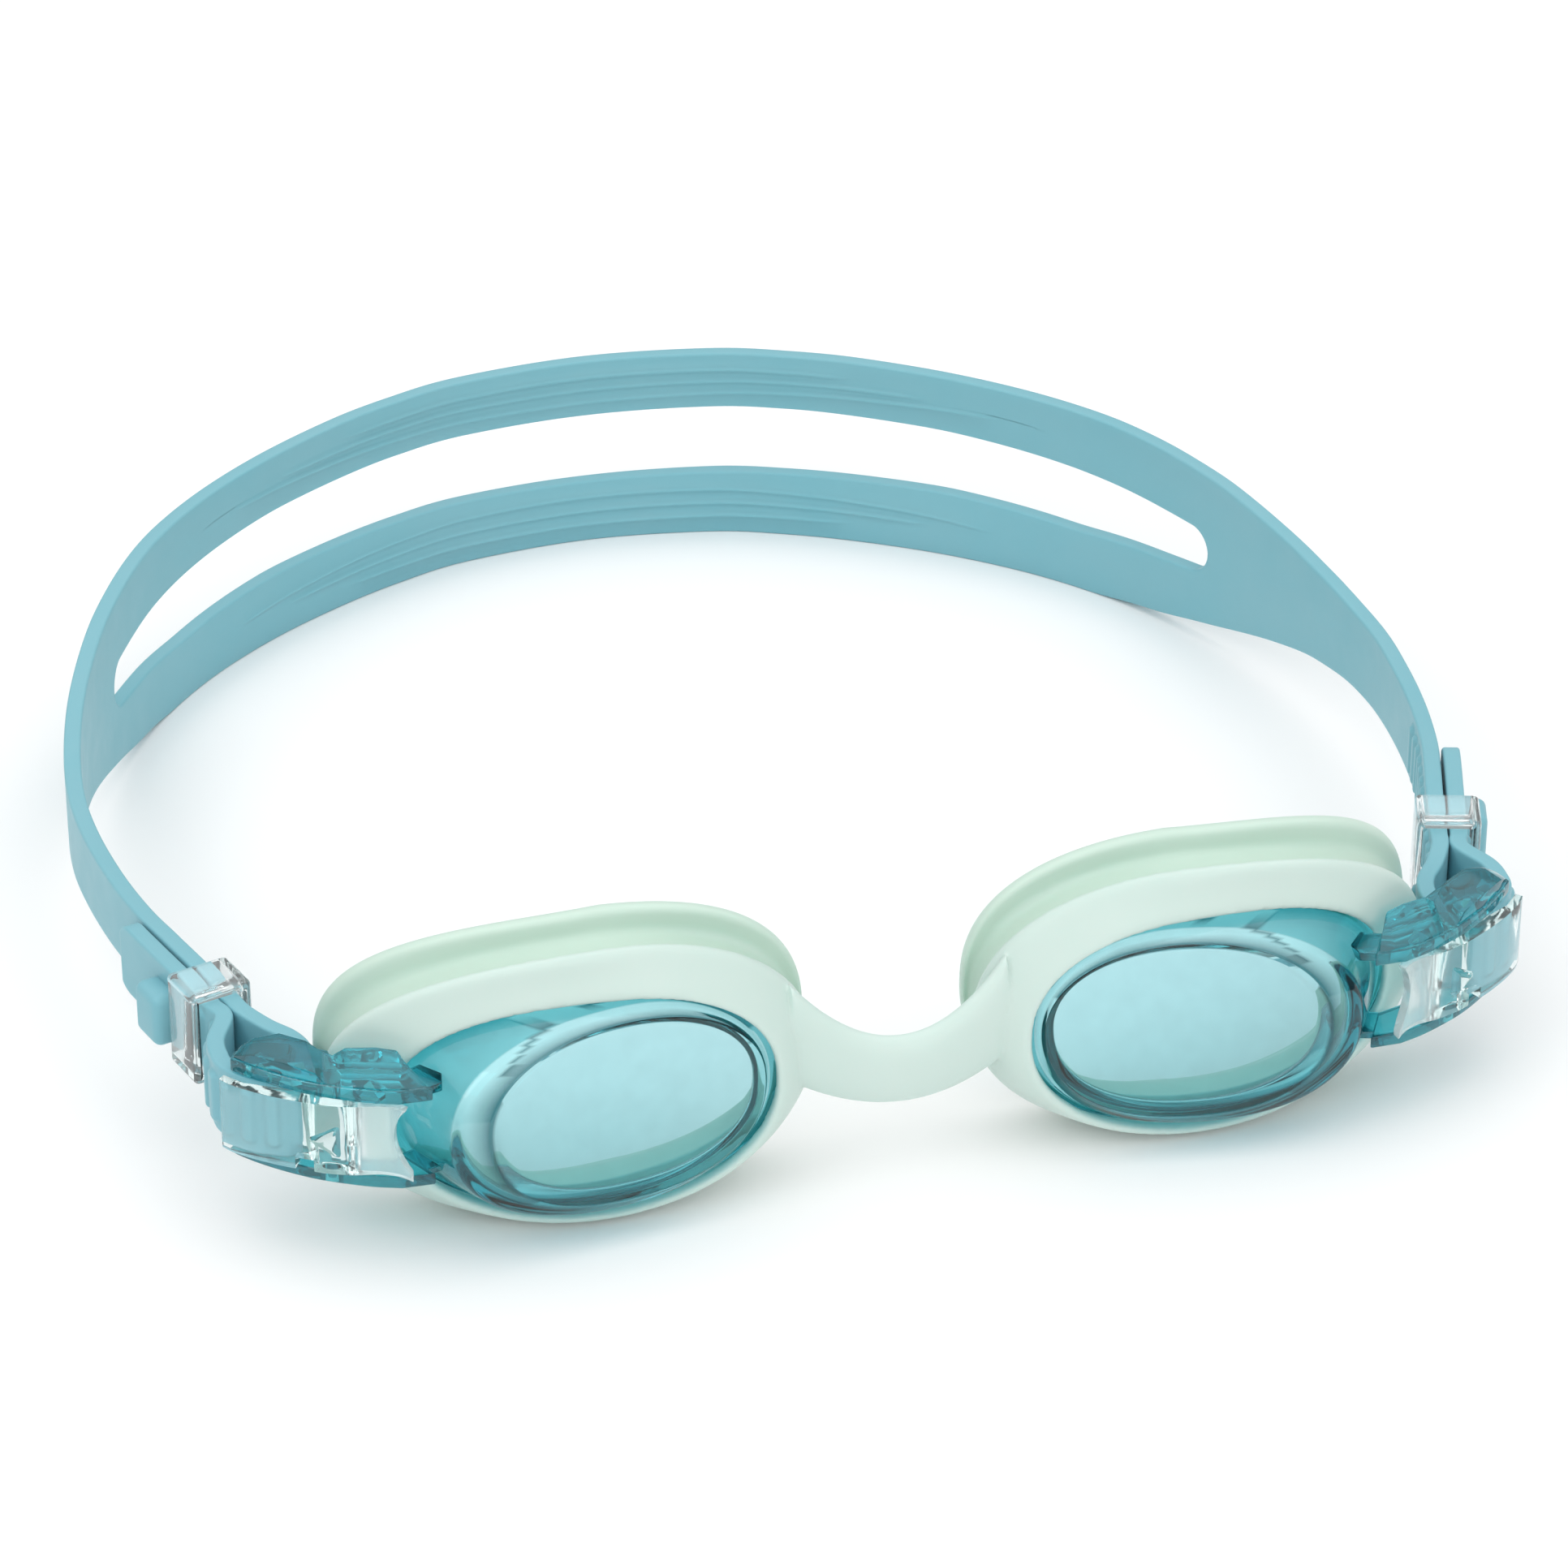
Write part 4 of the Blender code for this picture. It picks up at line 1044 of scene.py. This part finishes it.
def band_columns(distances, outer, inner):
    """Heights of a band's mesh columns from its outer edge to the slot, with five over each rib."""
    away = np.abs(distances)[:, None]
    width = (inner - outer)[:, None]
    reach = np.sign(width) * RIB_HALF_WIDTH
    columns = []
    for end, place, end_place in zip(RIB_ENDS, RIB_PLACES, RIB_END_PLACES):
        across = place + (end_place - place) * np.minimum(away / end, 1.0) ** 2
        columns.append(outer[:, None] + width * across + reach * np.array([[-1.0, -0.5, 0.0, 0.5, 1.0]]))
    ribbed = np.concatenate(columns, axis=1)
    even = outer[:, None] + width * np.linspace(0.08, 0.92, ribbed.shape[1])[None, :]
    blend = np.clip((away - COLUMNS_EVEN_AT[0]) / (COLUMNS_EVEN_AT[1] - COLUMNS_EVEN_AT[0]), 0.0, 1.0)
    return ribbed * (1 - blend) + even * blend


def rib_heights(distances):
    """How far each of a band's fifteen rib columns stands out."""
    away = np.abs(distances)[:, None]
    profile = np.array([[0.0, 0.75, 1.0, 0.75, 0.0]])
    fades = [np.sqrt(np.clip(1.0 - (away / end) ** 14, 0.0, 1.0)) for end in RIB_ENDS]
    return np.concatenate([RIB_HEIGHT * profile * fade for fade in fades], axis=1)


def tooth_height(distance, height, low, high, start, end):
    """The raised bars across the strap, with round ends."""
    phase = (distance - start) % TOOTH_PITCH - TOOTH_PITCH / 2
    reach = (high - low) / 2 - TOOTH_MARGIN
    corner = TOOTH_HALF_LENGTH - 0.05
    along = np.abs(phase) - TOOTH_HALF_LENGTH + corner
    upward = np.abs(height - (low + high) / 2) - reach + corner
    outside = np.hypot(np.maximum(along, 0), np.maximum(upward, 0)) + np.minimum(np.maximum(along, upward), 0)
    rise = np.clip((corner - outside) / TOOTH_EDGE, 0.0, 1.0)
    inside = (distance > start) & (distance < end)
    return np.where(inside, TOOTH_HEIGHT * rise * rise * (3 - 2 * rise), 0.0)


def strap_surface(path, length):
    """Turns (distance, thickness off the middle line, height) into drawing points."""

    def surface(distance, off, height):
        ahead = np.clip(distance + 0.15, 0.0, length)
        behind = np.clip(distance - 0.15, 0.0, length)
        way = resampled(path, ahead.ravel()) - resampled(path, behind.ravel())
        way /= np.linalg.norm(way, axis=1)[:, None]
        at_start = distance.ravel() < 1e-6
        way[at_start] = (1.0, 0.0)
        point = resampled(path, np.clip(distance, 0.0, length).ravel())
        off = off.ravel()
        x, y = point[:, 0] + way[:, 1] * off, point[:, 1] - way[:, 0] * off
        return np.column_stack([x, y, height.ravel()])

    return surface


def make_strap():
    """One half is made as grids of quads, mirrored and welded: faces, rounded edges and the slot's walls."""
    path, keeper_at, length = strap_path()
    surface = strap_surface(path, length)
    stations, slot_count = strap_stations(keeper_at, length)
    teeth_from, teeth_to = keeper_at - TEETH_BACK, length - TAIL_LENGTH + 2.0
    half = STRAP_THICKNESS / 2

    low, high = (rounded_steps(stations, STRAP_EDGES, column) for column in (1, 2))
    slot_low, slot_high = (rounded_steps(stations, SLOT_EDGES, column) for column in (1, 2))
    into_tail = np.clip(1.0 - (length - stations) / TAIL_ROUNDING, 0.0, 1.0)
    tail_cut = TAIL_ROUNDING * (1.0 - np.sqrt(1.0 - into_tail**2))
    low, high = low + 0.6 * tail_cut, high - tail_cut
    into_end = np.clip((stations - SLOT_END + SLOT_END_RADIUS) / SLOT_END_RADIUS, 0.0, 1.0)
    open_share = np.sqrt(1.0 - into_end**2)
    middle = np.where(stations < SLOT_END, (slot_low + slot_high) / 2, (low + high) / 2)
    drift = np.clip((stations - SLOT_END) / 12.0, 0.0, 1.0)
    end_middle = (SLOT_EDGES[-1][1] + SLOT_EDGES[-1][2]) / 2
    middle = np.where(stations > SLOT_END, end_middle * (1 - drift) + middle * drift, middle)
    reach = (slot_high - slot_low) / 2 * open_share
    thin = half * np.ones_like(stations)
    thin -= EDGE_ROUNDING * np.clip(1.0 - (length - stations) / 0.5, 0.0, 1.0) ** 2

    points, faces = [], []

    def add_grid(grid):
        """Adds a (stations, columns, 3) grid of drawing points as quads."""
        start = len(points)
        rows, columns = grid.shape[:2]
        points.extend(grid.reshape(-1, 3).tolist())
        for i in range(rows - 1):
            for j in range(columns - 1):
                a = start + i * columns + j
                faces.append((a, a + 1, a + columns + 1, a + columns))

    count = len(stations)
    turn = np.linspace(0.0, math.pi / 2, EDGE_STEPS + 1)
    inset = EDGE_ROUNDING * (1 - np.cos(turn))  # away from the edge
    sunk = EDGE_ROUNDING * (1 - np.sin(turn))  # below the face
    slot_slope = np.gradient(reach[:slot_count], stations[:slot_count])
    slot_slope[-1] = -1e6
    normal_s = -slot_slope / np.hypot(1.0, slot_slope)
    normal_z = 1.0 / np.hypot(1.0, slot_slope)

    for outer, sign in ((low, 1.0), (high, -1.0)):
        inner = middle - sign * reach
        face_outer = outer + sign * EDGE_ROUNDING
        face_inner = inner.copy()
        face_inner[:slot_count] -= sign * normal_z * EDGE_ROUNDING
        shift = np.zeros(count)
        shift[:slot_count] = normal_s * EDGE_ROUNDING
        ribbed = band_columns(stations, face_outer, face_inner)
        heights = np.column_stack([face_outer, ribbed, face_inner])
        share = (heights - face_outer[:, None]) / (face_inner - face_outer)[:, None]
        distances = stations[:, None] + shift[:, None] * share**3
        raised = np.zeros_like(heights)
        raised[:, 1:-1] = rib_heights(stations)
        raised += tooth_height(distances, heights, low[:, None], high[:, None], teeth_from, teeth_to)
        for face in (1, -1):
            off = thin[:, None] * face + (raised if face > 0 else 0.0)
            skin = surface(distances, np.broadcast_to(off, heights.shape), heights)
            add_grid(skin.reshape(count, -1, 3))
            edge_off = (thin[:, None] - sunk[None, :]) * face
            edge_heights = outer[:, None] + sign * inset[None, :]
            edge = surface(np.repeat(stations[:, None], len(turn), 1), edge_off, edge_heights)
            add_grid(edge.reshape(count, -1, 3))
            slot = slice(0, slot_count)
            rim_s = stations[slot, None] + normal_s[:, None] * inset[None, :]
            rim_z = inner[slot, None] - sign * normal_z[:, None] * inset[None, :]
            rim = surface(rim_s, np.broadcast_to((half - sunk[None, :]) * face, rim_s.shape), rim_z)
            add_grid(rim.reshape(slot_count, -1, 3))
        across = np.linspace(-1.0, 1.0, 4)[None, :]
        wall = surface(
            np.repeat(stations[:, None], 4, 1),
            (thin - EDGE_ROUNDING)[:, None] * across,
            np.repeat(outer[:, None], 4, 1),
        )
        add_grid(wall.reshape(count, -1, 3))
        slot_wall = surface(
            np.repeat(stations[:slot_count, None], 4, 1),
            np.repeat((half - EDGE_ROUNDING) * across, slot_count, 0),
            np.repeat(inner[:slot_count, None], 4, 1),
        )
        add_grid(slot_wall.reshape(slot_count, -1, 3))

    mirrored = [(-x, y, z) for x, y, z in points]
    shifted = [tuple(index + len(points) for index in reversed(face)) for face in faces]
    strap = make_object("strap_silicone", points + mirrored, faces + shifted, merge=0.004, sharp=60.0)
    close_holes(strap)
    for side in (1, -1):
        combine(strap, lug(side), "UNION")
    shade(strap, 60.0)
    finish_piece(strap, "strap", BODY, "strap_silicone", "strap")


def close_holes(obj):
    """Caps the tails' open ends."""
    edit = bmesh.new()
    edit.from_mesh(obj.data)
    edges = [edge for edge in edit.edges if edge.is_boundary]
    bmesh.ops.holes_fill(edit, edges=edges, sides=0)
    bmesh.ops.recalc_face_normals(edit, faces=edit.faces)
    edit.to_mesh(obj.data)
    edit.free()


def lug(side):
    """The stop behind the keeper, on the tail's outer face."""
    outward = LAYER_STEP + STRAP_THICKNESS / 2 - LUG_SUNK
    size = (LUG_HEIGHT + LUG_SUNK, LUG_LENGTH, LUG_WIDTH)
    middle = KEEPER_POINT + KEEPER_WAY * (LUG_START + LUG_LENGTH / 2)
    middle = middle + KEEPER_OUT * (outward + size[0] / 2)
    low = ARM_MIDDLE - STRAP_HALF_WIDTH + 0.2
    block = box("lug", size, turned_about_z(*middle, low + LUG_WIDTH / 2, KEEPER_TURN), side)
    bevel(block, 1.1, 5)
    return block


# ---------------------------------------------------------------- the scene

make_camera()
make_lights()
make_floor()
MATERIALS = make_materials()
make_frame()
make_strap()
for one_side in (1, -1):
    make_gasket(one_side)
    make_lens(one_side)
    make_lever(one_side)
    make_keeper(one_side)
